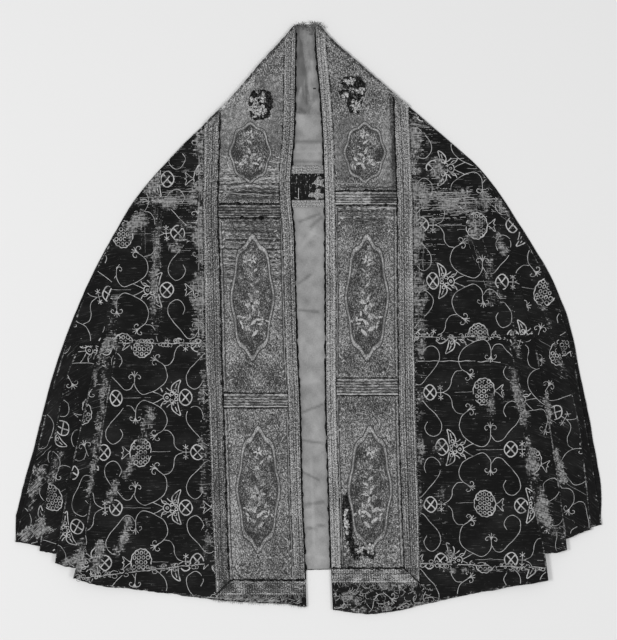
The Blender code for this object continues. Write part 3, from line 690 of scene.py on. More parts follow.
def wear_and_sheen_at(side, offset, depth):
    """How worn the velvet is, from 0 to 1, with hems a little worn as well. The pale rims along the outline
    and the fold edges, and the rows that follow the folds, are partly wear and partly painted sheen.
    """
    total = np.zeros(np.broadcast(offset, depth).shape)
    wobble = ripple(0.3 * offset, depth, 0.012, 0.045, 22)
    for row in WEAR_AND_SHEEN[side]:
        near, _ = along_line(row, offset + (0.010 if row[4] > 0.028 else 0.004) * wobble, depth)
        total = np.maximum(total, row[5] * near)
    # Pale rims along the outline and the fold edges: partly wear, partly painted sheen
    total = np.maximum(total, 0.34 * smoothstep(1 - (outline(side, depth) - offset) / 0.007))
    below = smoothstep((depth - FIRST_SEAM[side]) / 0.05)
    for column in FOLD_COLUMNS[1:]:
        rim = smoothstep(1 - np.abs(fold(side, column, depth) - 0.0015 - offset) / 0.004)
        total = np.maximum(total, 0.5 * rim * below)
    total = np.maximum(total, 0.42 * smoothstep(1 - (hem(side, offset) - depth) / 0.010))
    return total + 0.24 * ripple(offset, depth, 0.012, 0.06, 21, 2.6) * smoothstep(total * 4)


# %% [markdown]
# ## The cloth behind a fold
# A knife pleat hides a wedge of cloth. What comes out from under it is turned, about the point where the
# pleat opens, by twice the wedge's angle. The pattern on each pleat is therefore the same pattern, turned a
# little further each time. The functions below go from the laid cope to the flat cloth and back.

# %% From the laid cope to the flat cloth, and back
PLEAT_TURN = {
    # the fold that a part of the velvet is turned about, and how far, in degrees
    "front": ("fold_a", 0), "creased": ("fold_b", 15),
    "pleat_1": ("fold_a", 17), "pleat_2": ("fold_b", 30), "pleat_3": ("fold_c", 43),
}


def turned(side, part, offset, depth, way):
    column, degrees = PLEAT_TURN[part]
    d = FOLDS[side][0][0] if part == "creased" else FIRST_SEAM[side]
    x = float(fold(side, column, d))
    cosine, sine = math.cos(way * math.radians(degrees)), math.sin(way * math.radians(degrees))
    dx, dd = offset - x, depth - d
    return x + dx * cosine + dd * sine, d - dx * sine + dd * cosine


def to_cloth(side, part, offset, depth):
    return turned(side, part, offset, depth, 1)


def from_cloth(side, part, across, along):
    return turned(side, part, across, along, -1)


# %% [markdown]
# ## The velvet of the fronts
# Weavers made velvet about half a metre wide, so a cope is pieced from several widths that run square to
# its front edges. Each front has an upper, a middle and a bottom width. They're separate walls with a
# hair's gap between them, which is the seam.

# %% Columns and rows of the fronts
# How far in from its outer edge a fold is rounded, the width under which it rolls less, and where the last
# columns lie
ROLLED, NARROW = 0.010, 0.030
EDGE_INSETS = np.array([0.0085, 0.0070, 0.0055, 0.0040, 0.0030, 0.0021, 0.0013, 0.0007, 0.0003, 0.0])
# Half the gap at a seam, and the width of front that the share of a column is counted from
HAIR = 0.00015
FRONT_SPAN = 0.5


def wavy(values, seed, size=0.0008):
    """A slight unevenness along an edge."""
    values = np.asarray(values, float)
    return size * (ripple(values, 0.0, 0.03, 0.14, seed) + 0.45 * ripple(values, 0.0, 0.012, 0.03, seed + 5))


# %% The upper width of a front
def upper_front(side):
    main = np.linspace(0.06, FIRST_SEAM[side] - HAIR, 128)
    rows = np.concatenate([np.linspace(0.012, 0.06, 11)[:-1], main])
    inner = front_edge(side, rows)
    outer = outline(side, rows) + wavy(rows, 31 if side == "left" else 32)
    scale = np.minimum(1.0, (outer - inner) / NARROW)
    plain = inner[:, None] + (outer - ROLLED * scale - inner)[:, None] * np.linspace(0, 1, 104)
    offsets = np.concatenate([plain, outer[:, None] - EDGE_INSETS * scale[:, None]], axis=1)
    depths = np.repeat(rows[:, None], offsets.shape[1], axis=1)
    rolled_insets = np.repeat(EDGE_INSETS[None], len(rows), 0)
    insets = np.concatenate([np.full(plain.shape, ROLLED), rolled_insets], axis=1)
    surface = upper_top(side, offsets, depths)
    top = surface - 1.25 * roll(insets, 1)
    share = roll(insets, 2) / ROLL[-1][2]
    rolled = (FRONT_Z - CLOTH) * (1 - share) + EDGE_FLOOR_Z * share
    underside = np.where(insets < ROLLED, np.minimum(rolled, top - 0.0006), surface - CLOTH)
    creased = (depths > FOLDS[side][0][0]) & (offsets > fold(side, "fold_b", depths))
    flat, past = (to_cloth(side, part, offsets, depths) for part in ("front", "creased"))
    uv = [np.where(creased, b, a) for a, b in zip(flat, past)]
    wear_and_sheen = wear_and_sheen_at(side, offsets, depths)
    made = wall(f"{side}_velvet_upper", side, offsets, depths, top, underside, VELVET, uv, wear_and_sheen)
    return lay(made, "velvet", f"{side}_front_upper_width", (0.63, 0.78))


# %% The middle and the bottom width of a front
def lower_front(side, name, rows_of, length):
    """A width of a front below the first seam. rows_of gives the depths of its rows at an offset."""
    guess = rows_of(np.array([0.3]))[:, 0]
    inner, fold_a = front_edge(side, guess)[:, None], fold(side, "fold_a", guess)[:, None]
    share = np.concatenate([np.linspace(0, 1, 98) * (1 - ROLLED / FRONT_SPAN), 1 - EDGE_INSETS / FRONT_SPAN])
    offsets = inner + (fold_a - inner) * share
    for _ in range(3):
        depths = np.stack([rows_of(offsets[i])[i] for i in range(len(guess))])
        inner, fold_a = front_edge(side, depths), fold(side, "fold_a", depths)
        offsets = inner + (fold_a - inner) * share
    insets, open_share = fold_a - offsets, opened(side, "a", depths)
    surface = lower_top(side, offsets, depths)
    top = surface - roll(insets, 1) * (0.3 + 0.7 * open_share)
    underside = surface - CLOTH - roll(insets, 2) * open_share
    uv, wear_and_sheen = to_cloth(side, "front", offsets, depths), wear_and_sheen_at(side, offsets, depths)
    made = wall(f"{side}_velvet_{name}", side, offsets, depths, top, underside, VELVET, uv, wear_and_sheen)
    return lay(made, "velvet", f"{side}_front_{name}_width", (0.60, length))


def build_fronts(side):
    first = FIRST_SEAM[side] + HAIR

    def middle(offset):
        return first + (second_seam(side, offset) - HAIR - first) * np.linspace(0, 1, 104)[:, None]

    def bottom(offset):
        start = second_seam(side, offset) + HAIR
        end = hem(side, offset) + wavy(offset, 41 if side == "left" else 42, 0.0011)
        return start + (end - start) * np.linspace(0, 1, 26)[:, None]

    upper_front(side)
    lower_front(side, "middle", middle, 0.60)
    lower_front(side, "bottom", bottom, 0.14)


for side in SIGN:
    build_fronts(side)

# %% [markdown]
# ## The pleats
# Each pleat is a wall of its own here, with a rounded fold at its outer edge that stands on the next one.
# Under them lie the layers that a pleat hides. They only show at the hem and at the fold edges, so they're
# plain walls, a cloth's thickness each, that stop at the fold they belong to. All of a side's pleats and
# layers make one piece.

# %% Pleats and their hidden layers
PLEATS = ("pleat_1", "pleat_2", "pleat_3")


def pleat_edges(side, number, depth):
    inner, *others = (fold(side, column, depth) for column in FOLD_COLUMNS[1 + number:])
    return inner, others[0] if others else outline(side, depth)


def pleat_roll(side, number, offset, depth, column):
    """How much a pleat drops towards its outer fold, and less where the fold is closed."""
    inner, outer = pleat_edges(side, number, depth)
    share = opened(side, "bc"[number], depth) if number < 2 else 1.0
    return roll((outer - offset) / np.minimum(1.0, (outer - inner) / NARROW), column) * share


def pleat_height(side, number, offset, depth):
    """Top of a pleat: a little domed between its folds, and rounded down at its outer fold."""
    inner, outer = pleat_edges(side, number, depth)
    along = np.clip((offset - inner) / (outer - inner), 0, 1)
    dome = 0.0005 * np.sin(np.pi * along) * (opened(side, "bc"[number], depth) if number < 2 else 1.0)
    wave = 0.0002 * ripple(offset, depth, 0.02, 0.07, 50 + number, 3.0) * smoothstep((outer - offset) / 0.012)
    return pleat_tops(side, depth)[number] + dome + wave - pleat_roll(side, number, offset, depth, 1)


def pleat_grid(side, number):
    start = FIRST_SEAM[side] + HAIR
    hem_in, hem_out = PLEAT_HEMS[side][number]
    across = np.concatenate([np.linspace(0, 0.80, 22), [0.85, 0.89, 0.925, 0.95, 0.97, 0.985, 0.994, 1.0]])
    along = np.linspace(0, 1, 118)[:, None]
    end = hem_in + (hem_out - hem_in) * smoothstep(across) + wavy(across * 0.1, 60 + number, 0.0012)
    depths = start + (end - start) * along
    inner, outer = pleat_edges(side, number, depths)
    share = opened(side, "abc"[number], depths)
    tucked = inner + 0.0006 - 0.012 * smoothstep((share - 0.9) / 0.1)
    offsets = tucked + (outer - tucked) * across
    return offsets, depths


def pleat_part(side, number):
    """One pleat as a closed wall, and its wear."""
    offsets, depths = pleat_grid(side, number)
    top = pleat_height(side, number, offsets, depths)
    down, under = (pleat_roll(side, number, offsets, depths, column) for column in (1, 2))
    underside = top - CLOTH + down - under
    if number == 2:
        underside = np.maximum(underside, EDGE_FLOOR_Z)
    uv = to_cloth(side, PLEATS[number], offsets, depths)
    part = wall_part(side, offsets, depths, top, np.minimum(underside, top - 0.0005), uv)
    return part, wear_and_sheen_at(side, offsets, depths).ravel()[part[3]]

# %% The hidden layers, and each side as one piece
LAYER_HEIGHTS = (0.0062, 0.0086, 0.0110, 0.0134, 0.0158)


def layer_part(side, number):
    """A hidden layer: a wall from under the front out to the fold that it belongs to."""
    height = LAYER_HEIGHTS[number]
    end = (*[row[1] for row in PLEAT_HEMS[side][::-1]], 1.32, 1.335)[number]
    rows = np.linspace(FIRST_SEAM[side] + 0.004, end - 0.004 - 0.002 * number, 40)
    rows = rows[crest(side, rows) - CLOTH - LAYER_GAP > height + 0.0002]
    if len(rows) < 4:
        return None
    outer = outline(side, rows) - 0.004
    for column, top in zip(FOLD_COLUMNS[:0:-1], pleat_tops(side, rows)[::-1]):
        outer = np.where(top - CLOTH - 0.0004 < height, fold(side, column, rows) - 0.004, outer)
    start = (orphrey_edge(side, rows) + FIELD_START + 0.01)[:, None]
    tries = start + ((fold(side, "fold_a", rows) - 0.012)[:, None] - start) * np.linspace(0, 1, 60)
    clear = lower_top(side, tries, rows[:, None]) - CLOTH - LAYER_GAP > height
    clear[:, -1] |= ~clear.any(axis=1)
    inner = np.minimum(tries[np.arange(len(rows)), np.argmax(clear, axis=1)], outer - 0.02)
    offsets = inner[:, None] + (outer - inner)[:, None] * np.linspace(0, 1, 10)
    depths = np.repeat(rows[:, None], 10, 1)
    depths[-1] += wavy(offsets[-1], 70 + number, 0.0015)
    top = np.full(offsets.shape, height)
    part = wall_part(side, offsets, depths, top, top - CLOTH * 0.9, (offsets, depths))
    return part, np.full(len(part[0]), 0.1)


def build_pleats(side):
    made = [pleat_part(side, number) for number in range(3)]
    made += filter(None, (layer_part(side, number) for number in range(len(LAYER_HEIGHTS))))
    parts, wear_and_sheen = zip(*made)
    piece = add_mesh(f"{side}_pleats", *joined(parts), VELVET, np.concatenate([part[2] for part in parts]))
    set_value(piece, "wear_and_sheen", np.concatenate(wear_and_sheen))
    piece["flat_area"] = sum(part[4] for part in parts)
    return lay(piece, "velvet", f"{side}_side_folds", (1.10, 0.62))


for side in SIGN:
    build_pleats(side)
print("pleats made")

# %% [markdown]
# ## A small engine for threads
# Cords, woven outlines and stitches are all thin threads that follow a path. One node tree makes them: it
# turns a chain of edges into a curve, gives the curve a flattened round section, and scales that section by
# each point's own thickness. The tree's inputs have names, so every kind of thread can set its own width
# and height.


# %% The thread tree
def start_tree(name, sizes):
    """A new tree with its named inputs: geometry, a few sizes and a material."""
    tree = bpy.data.node_groups.new(name, "GeometryNodeTree")
    face = tree.interface
    face.new_socket("Geometry", in_out="INPUT", socket_type="NodeSocketGeometry")
    for size, value in sizes.items():
        kind = "NodeSocketInt" if isinstance(value, int) else "NodeSocketFloat"
        face.new_socket(size, in_out="INPUT", socket_type=kind).default_value = value
    face.new_socket("Material", in_out="INPUT", socket_type="NodeSocketMaterial")
    face.new_socket("Geometry", in_out="OUTPUT", socket_type="NodeSocketGeometry")
    return tree, tree.nodes.new("NodeGroupInput").outputs


def end_tree(tree, start, geometry):
    """Makes the tree's result real, gives it its material and hands it out."""
    real = add(tree, "GeometryNodeRealizeInstances", {"Geometry": geometry}).outputs["Geometry"]
    dressed = add(tree, "GeometryNodeSetMaterial", {"Geometry": real, "Material": start["Material"]})
    tree.links.new(dressed.outputs["Geometry"], tree.nodes.new("NodeGroupOutput").inputs["Geometry"])
    return tree


def combine(tree, x, y, z):
    return add(tree, "ShaderNodeCombineXYZ", {"X": x, "Y": y, "Z": z}).outputs[0]


def stored(tree, name):
    made = add(tree, "GeometryNodeInputNamedAttribute", {"Name": name}, data_type="FLOAT")
    return made.outputs["Attribute"]


def thread_tree():
    tree, start = start_tree("thread_along_path", {"Half width": 0.0014, "Half height": 0.0004, "Sides": 5})
    path = add(tree, "GeometryNodeMeshToCurve", {"Mesh": start["Geometry"]}).outputs["Curve"]
    thick = stored(tree, "thick")
    path = add(tree, "GeometryNodeSetCurveRadius", {"Curve": path, "Radius": thick}).outputs["Curve"]
    upright = add(tree, "GeometryNodeSetCurveNormal", {"Curve": path}, mode="Z_UP").outputs["Curve"]
    circle = add(tree, "GeometryNodeCurvePrimitiveCircle", {"Resolution": start["Sides"], "Radius": 1.0})
    size = combine(tree, start["Half width"], start["Half height"], 1.0)
    ring = {"Geometry": circle.outputs["Curve"], "Scale": size}
    oval = add(tree, "GeometryNodeTransform", ring).outputs["Geometry"]
    inputs = {"Curve": upright, "Profile Curve": oval, "Fill Caps": True, "Scale": stored(tree, "thick")}
    return end_tree(tree, start, add(tree, "GeometryNodeCurveToMesh", inputs).outputs["Mesh"])


THREAD_TREE = thread_tree()


# %% Running a tree on chains of points
def run_tree(made, tree, inputs):
    """Runs a node tree on an object, keeps the mesh that it makes, and takes the tree off again."""
    modifier = made.modifiers.new("nodes", "NODES")
    modifier.node_group = tree
    for item in tree.interface.items_tree:
        if item.in_out == "INPUT" and item.name in inputs:
            modifier[item.identifier] = inputs[item.name]
    bpy.context.view_layer.update()
    result = bpy.data.meshes.new_from_object(made.evaluated_get(bpy.context.evaluated_depsgraph_get()))
    made.modifiers.remove(modifier)
    made.data = result
    result.shade_smooth()
    return made


def path_object(name, paths, values):
    """Chains of points as one object. Each attribute has a value, or a row of values, for every path."""
    edges, count = [], 0
    for path in paths:
        steps = np.arange(count, count + len(path) - 1)
        edges.append(np.stack([steps, steps + 1], 1))
        count += len(path)
    made = new_object(name, np.concatenate(paths), np.concatenate(edges))
    for attribute_name, rows in values.items():
        columns = [np.broadcast_to(row, len(path)) for row, path in zip(rows, paths)]
        set_value(made, attribute_name, np.concatenate(columns))
    return made


def lay_threads(name, runs, half_sizes, material, sides=5, slot="velvet"):
    """Many threads as one piece. A run is its points, its thickness at each, and its tone."""
    paths, thick, tone = zip(*[run for run in runs if len(run[0]) > 1])
    made = path_object(name, paths, {"thick": thick, "tone": tone})
    half_width, half_height = half_sizes
    sizes = {"Half width": half_width, "Half height": half_height, "Sides": sides, "Material": material}
    lay(run_tree(made, THREAD_TREE, sizes), slot)
    print(name, len(made.data.polygons), "faces")


# %% A smooth path through a few points
def smooth_path(points, step=1.2):
    """A smooth path through a few points, with a point about every step."""
    points = np.asarray(points, float)
    if len(points) == 2:
        count = max(2, int(np.linalg.norm(points[1] - points[0]) / step) + 1)
        return points[0] + (points[1] - points[0]) * np.linspace(0, 1, count)[:, None]
    ends = np.vstack([2 * points[0] - points[1], points, 2 * points[-1] - points[-2]])
    out = []
    for p0, p1, p2, p3 in zip(ends, ends[1:], ends[2:], ends[3:]):
        count = max(1, math.ceil(np.linalg.norm(p2 - p1) / step))
        t = np.linspace(0, 1, count, endpoint=False)[:, None]
        slope, bend, twist = p2 - p0, 2 * p0 - 5 * p1 + 4 * p2 - p3, 3 * p1 - p0 - 3 * p2 + p3
        out.append(0.5 * (2 * p1 + slope * t + bend * t**2 + twist * t**3))
    return np.vstack(out + [points[-1:]])


# %% [markdown]
# ## The pattern of the velvet
# The figure is a stock pattern of its time: thin lines of metal thread in a dark pile, with pomegranates,
# small quartered wheels and curling stems that end in fleurons. It repeats across the loom and drops half a
# repeat at every second row. The strokes are charted on a small grid, outward from the front edge, and
# mirrored about the unit's own axis.


# %% One unit of the pattern, charted on a grid
def oval(u, v, ru, rv, count=16, start=0.0, end=1.0):
    turn = 2 * np.pi * np.linspace(start, end, count + 1)
    return np.stack([u + ru * np.cos(turn), v + rv * np.sin(turn)], -1)


def stroke(u, points, step=1.2):
    """A smooth stroke through chart points that are counted from u."""
    return smooth_path(np.array(points, float) + (u, 0), step)


def mirrored(*paths):
    return [p for path in paths for p in (path, np.asarray(path, float) * (1, -1))]


def strokes_of(thick, tone, *paths):
    return [(np.asarray(path, float), thick, tone) for path in paths]


# %% Wheel, fleuron and pomegranate
def wheel(u):
    """A quartered wheel, a little pointed at its ends."""
    turn = 2 * np.pi * np.linspace(0, 1, 19)
    pointed = 1 + 0.04 * np.cos(4 * turn)
    ring = np.stack([u + 6.3 * np.cos(turn) * pointed, 7.6 * np.sin(turn) * pointed], -1)
    bars = [smooth_path([(u - 4.0, -4.6 * way), (u + 4.0, 4.6 * way)]) for way in (1, -1)]
    return strokes_of(2.0, 0.92, ring) + strokes_of(2.1, 0.86, *bars)


def fleuron(u, v, heading):
    """Two volutes that curl back beside a spiked tip. The heading is the way the tip points, in degrees."""
    volute = smooth_path([(-1.5, 0), (1.2, 1.6), (1.4, 4.2), (-0.6, 5.8), (-2.6, 4.8), (-1.8, 3.2)], 1.1)
    tip = smooth_path([(-3, 0), (5.2, 0)])
    barb = smooth_path([(0.5, 0.3), (4.0, 2.8)])
    turn = math.radians(heading)
    spin = np.array([[math.cos(turn), math.sin(turn)], [-math.sin(turn), math.cos(turn)]])
    moved = [np.asarray(path) @ spin + (u, v) for path in [*mirrored(volute), tip, *mirrored(barb)]]
    return mirrored(*moved)


def pomegranate(u):
    turn = 2 * np.pi * np.linspace(0, 1, 52)
    wobble = 1 + 0.030 * np.cos(13 * turn + 0.6)
    rim = np.stack([u + 10.4 * np.cos(turn) * wobble, 13.4 * np.sin(turn) * wobble], -1)
    seeds = []
    for row in range(-2, 3):
        for column in range(-2, 3):
            x, y = column * 4.5 + (row % 2) * 2.25, row * 4.8
            if (x / 8.6) ** 2 + (y / 11.8) ** 2 < 1:
                seeds.append(oval(u + x, y, 1.7 + 0.3 * math.cos(5 * x + y), 1.9, 6))
    crown = stroke(u, [(10.2, 0), (13.5, -2.2), (18.5, -6.4), (17, -1.5), (19, 0)], 1.5)
    marks = strokes_of(1.6, 0.88, rim) + strokes_of(1.5, 0.66, *seeds)
    return marks + strokes_of(1.1, 0.85, *mirrored(crown))


# %% Flower and stems
def flower(u):
    """A wheel between two pointed petals, with a bud after it."""
    petal = [(7.5, 2.5), (11.5, 4), (13.6, 9), (11.5, 13.6), (5.2, 17.6), (6.6, 11), (7.5, 4)]
    bud = stroke(u, [(14.5, 0.8), (17, 4), (20.5, 3), (21.5, 0)], 1.3)
    curls = [oval(u + 9.4, 1.7, 1.5, 1.4, 7), oval(u + 13.4, 3.6, 1.7, 1.5, 7)]
    curls += [stroke(u, [(13, 6), (16, 7.4), (18.4, 9.6)]), stroke(u, [(19, 4), (22.5, 5.4), (24.4, 9.2)])]
    eye, spot = oval(u + 10.4, 6.6, 1.5, 1.7, 7), oval(u + 18, 0, 1.3, 1.2, 6)
    vein, leaf = stroke(u, [(10, 9.5), (8.2, 14)]), stroke(u, [(17.5, 3.6), (20, 6.6), (23, 6.8)])
    sprig = stroke(u, [(21.5, 0.8), (26, 3.2), (32, 6.0)], 1.6)
    marks = strokes_of(1.7, 0.88, *mirrored(stroke(u, petal, 1.3)))
    marks += strokes_of(1.4, 0.88, *mirrored(bud, *curls))
    marks += strokes_of(1.5, 0.8, *mirrored(eye, vein), spot)
    return wheel(u) + marks + strokes_of(1.05, 0.86, *mirrored(leaf, sprig))


def unit_strokes():
    knot = [smooth_path([(11, -8), (11, 8)]), smooth_path([(6.5, 0), (14.5, 0)])]
    knot += mirrored(smooth_path([(8.6, 3.4), (13.6, 6.8)]), smooth_path([(13.4, 3.4), (8.6, 6.6)]))
    strokes = wheel(0) + strokes_of(1.05, 0.82, *knot)
    strokes += strokes_of(0.7, 0.42, smooth_path([(26, 0), (44, 0)], 2.0)) + pomegranate(55) + flower(91)
    stem = smooth_path([(13, 0), (19, 3), (22, 8), (23, 15), (27, 21), (33, 22)], 1.6)
    arcs = (
        [(29, 38), (21, 32), (18, 23), (20, 15), (25, 10), (32, 6), (40, 3), (45, 5), (49, 11), (49.5, 19)],
        [(50, 14), (54, 8.5), (60, 8.5), (67, 16), (75, 25), (79, 33), (78, 41), (72, 46), (66, 44),
         (62.5, 37), (65, 31)],
    )
    strokes += strokes_of(0.92, 0.90, *mirrored(stem, *(stroke(91, arc, 1.6) for arc in arcs)))
    strokes += strokes_of(0.75, 0.40, stroke(91, [(34, 0), (62, 0)], 2.0))
    strokes += strokes_of(0.95, 0.88, *fleuron(91 + 30, 38.8, 24), *fleuron(91 + 49.5, 21.5, 90))
    return strokes

# %% The unit, and its place on each width
UNIT = unit_strokes()
STEP = 0.00245
REPEAT = 160
PHASE = {
    # a wheel's place, in chart steps from the middle of the opening and from the neck, and the drop of a row
    "left": {"upper": (50.5, 266.0, 56.0), "lower": (32.0, 374.0, 54.6), "bottom": (32.0, 430.0, 54.6)},
    "right": {"upper": (33.5, 257.0, 56.0), "lower": (41.5, 312.0, 56.0), "bottom": (41.5, 368.0, 56.0)},
}
print("strokes in a unit:", len(UNIT), "points:", sum(len(s[0]) for s in UNIT))

# %% [markdown]
# ## Laying the pattern on the cope
# Each width of velvet has its own place in the repeat, which is why the figure breaks at the seams. On the
# pleats the pattern turns with the cloth. Every stroke is moved to its place on the laid cope, cut at the
# edges of its piece of cloth, and lifted to the cloth's surface. Where the velvet is worn the metal thread
# has gone too, so strokes thin out and break there.


# %% Regions of velvet, each with its test and its height
def velvet_regions(side):
    """Each region's part of the cloth, place in the repeat, box, test and height."""
    first = FIRST_SEAM[side]

    def in_upper(x, d):
        beside = (x > orphrey_edge(side, d)) & (x < outline(side, d) - 0.003)
        return (d > 0.05) & (d < first - 0.0035) & beside

    def creased(x, d):
        return (d > FOLDS[side][0][0]) & (x > fold(side, "fold_b", d))

    def below(x, d):
        beside = (x > orphrey_edge(side, d)) | (d > BOTTOM_GUARD[side][1])
        inside = (x > front_edge(side, d) + 0.003) & (x < fold(side, "fold_a", d) - 0.002)
        return (d > first + 0.003) & beside & inside

    def front(x, d):
        return in_upper(x, d) & ~creased(x, d)

    def past_crease(x, d):
        return in_upper(x, d) & creased(x, d)

    def middle(x, d):
        return below(x, d) & (d < second_seam(side, x) - 0.0025)

    def bottom(x, d):
        return below(x, d) & (d > second_seam(side, x) + 0.0025) & (d < hem(side, x) - 0.003)

    def pleat(number, x, d):
        inner, outer = pleat_edges(side, number, d)
        start, end = PLEAT_HEMS[side][number]
        share = np.clip((x - inner) / (outer - inner), 0, 1)
        on = (x > inner + 0.002) & (x < outer - 0.0025) & (outer - inner > (0.010, 0.012, 0.030)[number])
        return on & (d > first + 0.006) & (d < start + (end - start) * share - 0.003)

    upper, lower = partial(upper_top, side), partial(lower_top, side)
    yield "front", "upper", (0.24, 0.62, 0.15, first), front, upper
    yield "creased", "upper", (0.45, 0.64, 0.50, first), past_crease, upper
    yield "front", "lower", (0.22, 0.60, first, 1.36), middle, lower
    yield "front", "bottom", (0.0, 0.60, 1.30, 1.45), bottom, lower
    for number, part in enumerate(PLEATS):
        height = partial(pleat_height, side, number)
        yield part, "lower", (0.45, 0.76, first, 1.36), partial(pleat, number), height


# %% The strokes over a region, on the flat cloth
def units_over(side, part, phase, box):
    """Origins of the units that may reach a box of the laid cope."""
    x, d = np.meshgrid(np.linspace(box[0], box[1], 6), np.linspace(box[2], box[3], 8))
    across, along = to_cloth(side, part, x, d)
    u0, d0, drop = PHASE[side][phase]
    for row in range(int((along.min() / STEP - d0) / drop) - 2, int((along.max() / STEP - d0) / drop) + 3):
        shift = (row % 2) * REPEAT / 2
        first = int(np.floor((across.min() / STEP - u0 - shift) / REPEAT)) - 1
        last = int(np.ceil((across.max() / STEP - u0 - shift) / REPEAT))
        for column in range(first, last + 1):
            yield u0 + shift + column * REPEAT, d0 + row * drop


def slack(side, across, along):
    """Hand-thrown cloth is never quite even: the repeat wanders a little."""
    def wander(seed):
        slow, quick = ripple(across, along, 0.16, 0.40, seed), ripple(across, along, 0.02, 0.05, seed + 1)
        return 0.0021 * slow + 0.0006 * quick

    seed = 90 if side == "left" else 95
    return across + wander(seed), along + wander(seed + 2)


def chart_points(side, part, phase, box):
    """All strokes over a box in one table: each point's place on the cloth, thickness, tone and stroke."""
    table, number = [], 0
    for u0, d0 in units_over(side, part, phase, box):
        for points, weight, light in UNIT:
            extra = np.repeat([[weight, light, number]], len(points), 0)
            table.append(np.hstack([(points + (u0, d0)) * STEP, extra]))
            number += 1
    return np.vstack(table)


# %% The strokes laid on the cope and cut to their cloth
def cut_runs(keep, *columns, strokes=None):
    """Splits the columns wherever a point isn't kept, and where a new stroke starts."""
    apart = ~keep[1:] | ~keep[:-1]
    if strokes is not None:
        apart |= strokes[1:] != strokes[:-1]
    starts = np.flatnonzero(np.concatenate([[True], apart]))
    for start, end in zip(starts, np.append(starts[1:], len(keep))):
        if end - start > 1 and keep[start]:
            yield [column[start:end] for column in columns]


def pattern_runs(side):
    runs = []
    for part, phase, box, test, height in velvet_regions(side):
        across, along, weight, light, strokes = chart_points(side, part, phase, box).T
        across, along = slack(side, across, along)
        x, d = from_cloth(side, part, across, along)
        near = (x > box[0]) & (x < box[1]) & (d > box[2] - 0.01) & (d < box[3] + 0.01)
        columns = (x, d, weight, light, strokes, across, along)
        x, d, weight, light, strokes, across, along = (column[near] for column in columns)
        on_pleat = "pleat" in part
        worn = wear_and_sheen_at(side, x, d)
        broken = worn + 0.34 * ripple(across, along, 0.008, 0.04, 81) > 0.62
        thin = (1 - 0.42 * np.clip(worn, 0, 1)) * (1 + 0.24 * ripple(x, d, 0.006, 0.02, 82))
        thick = weight * np.clip(thin, 0.35, 1.3) * (0.86 if on_pleat else 1.0)
        light = light - (0.10 if on_pleat else 0.0)
        tone = np.clip(light - 0.35 * worn + 0.32 * ripple(x, d, 0.008, 0.06, 83), 0, 1)
        points = place(side, x, d, height(x, d) + 0.00022)
        runs += cut_runs(test(x, d) & ~broken, points, thick, tone, strokes=strokes)
    return runs


# %% The metal thread
def make_thread(name, low, high, roughness=0.55):
    """Couched or woven thread: its tone attribute runs from low to high, with a fine unevenness."""
    material, tree, shader = new_finish(name, roughness, 0.15, 0.5, 0.35)
    grain = noise(tree, "object", 620.0, 2.0, 0.6)
    tone = math_node(tree, "SUBTRACT", attribute(tree, "tone"), 0.4)
    level = math_node(tree, "MULTIPLY_ADD", grain, 0.8, tone)
    tree.links.new(blend(tree, level, grey(low), grey(high)), shader.inputs["Base Color"])
    bump(tree, shader, grain, 0.0004, 0.6)
    return material


PATTERN_THREAD = make_thread("metal_thread", 0.05, 0.51)
for side in SIGN:
    lay_threads(f"{side}_velvet_pattern", pattern_runs(side), (0.00079, 0.00034), PATTERN_THREAD, 4)


# %% [markdown]
# ## Lining
# The narrow opening shows the lining of the back, a plain weave that was once patched with a newer piece
# near the neck. It has soft cross creases and a small hole. Only the part in the opening needs a fine mesh,
# so its columns are close together there and far apart under the fronts.


# %% The lining
LINING_Z, LINING = 0.0024, 0.0010
LINING_TOP = LINING_Z + LINING
LINING_SEAM = 0.2200
BACK_END = 1.338
OPENING = 0.068
STRAP_MIDDLE, STRAP_TOP = 0.3975, 0.0053
LINING_CREASES = (
    # signed offset and depth of both ends, half width, height
    (-0.045, 0.288, 0.050, 0.288, 0.010, -0.0007), (-0.045, 0.312, 0.050, 0.310, 0.006, 0.0008),
    (-0.045, 0.336, 0.050, 0.338, 0.010, -0.0005), (-0.008, 0.100, -0.004, 0.205, 0.007, -0.0006),
    (0.004, 0.110, 0.001, 0.200, 0.006, 0.0005), (-0.020, 0.060, -0.012, 0.190, 0.006, -0.0007),
    (0.002, 0.500, 0.036, 0.470, 0.010, -0.0006), (-0.030, 0.560, 0.020, 0.500, 0.012, 0.0006),
    (-0.030, 0.700, 0.030, 0.706, 0.008, -0.0004), (-0.026, 0.880, 0.034, 0.874, 0.010, 0.0004),
    (-0.020, 1.020, 0.040, 1.028, 0.008, -0.0004), (-0.016, 1.180, 0.044, 1.170, 0.010, -0.0005),
    (0.006, 1.050, 0.014, 1.300, 0.008, 0.0005), (-0.028, 0.486, 0.034, 0.462, 0.007, -0.0007),
    (-0.010, 0.505, 0.034, 0.520, 0.005, 0.0006), (-0.030, 0.640, 0.010, 0.610, 0.007, -0.0005),
    (-0.024, 0.955, 0.040, 0.930, 0.007, -0.0006), (-0.020, 1.095, 0.030, 1.120, 0.006, -0.0005),
    (-0.012, 1.240, 0.046, 1.226, 0.007, -0.0006), (-0.008, 1.300, 0.046, 1.310, 0.006, 0.0005),
    (-0.026, 0.205, -0.006, 0.218, 0.012, -0.0008), (-0.001, 0.160, 0.003, 0.192, 0.005, -0.0009),
    (0.008, 0.085, 0.012, 0.150, 0.006, 0.0006), (-0.036, 0.2150, -0.020, 0.2160, 0.005, -0.0010),
    (0.001, 0.004, 0.004, 0.022, 0.003, -0.0010),
)


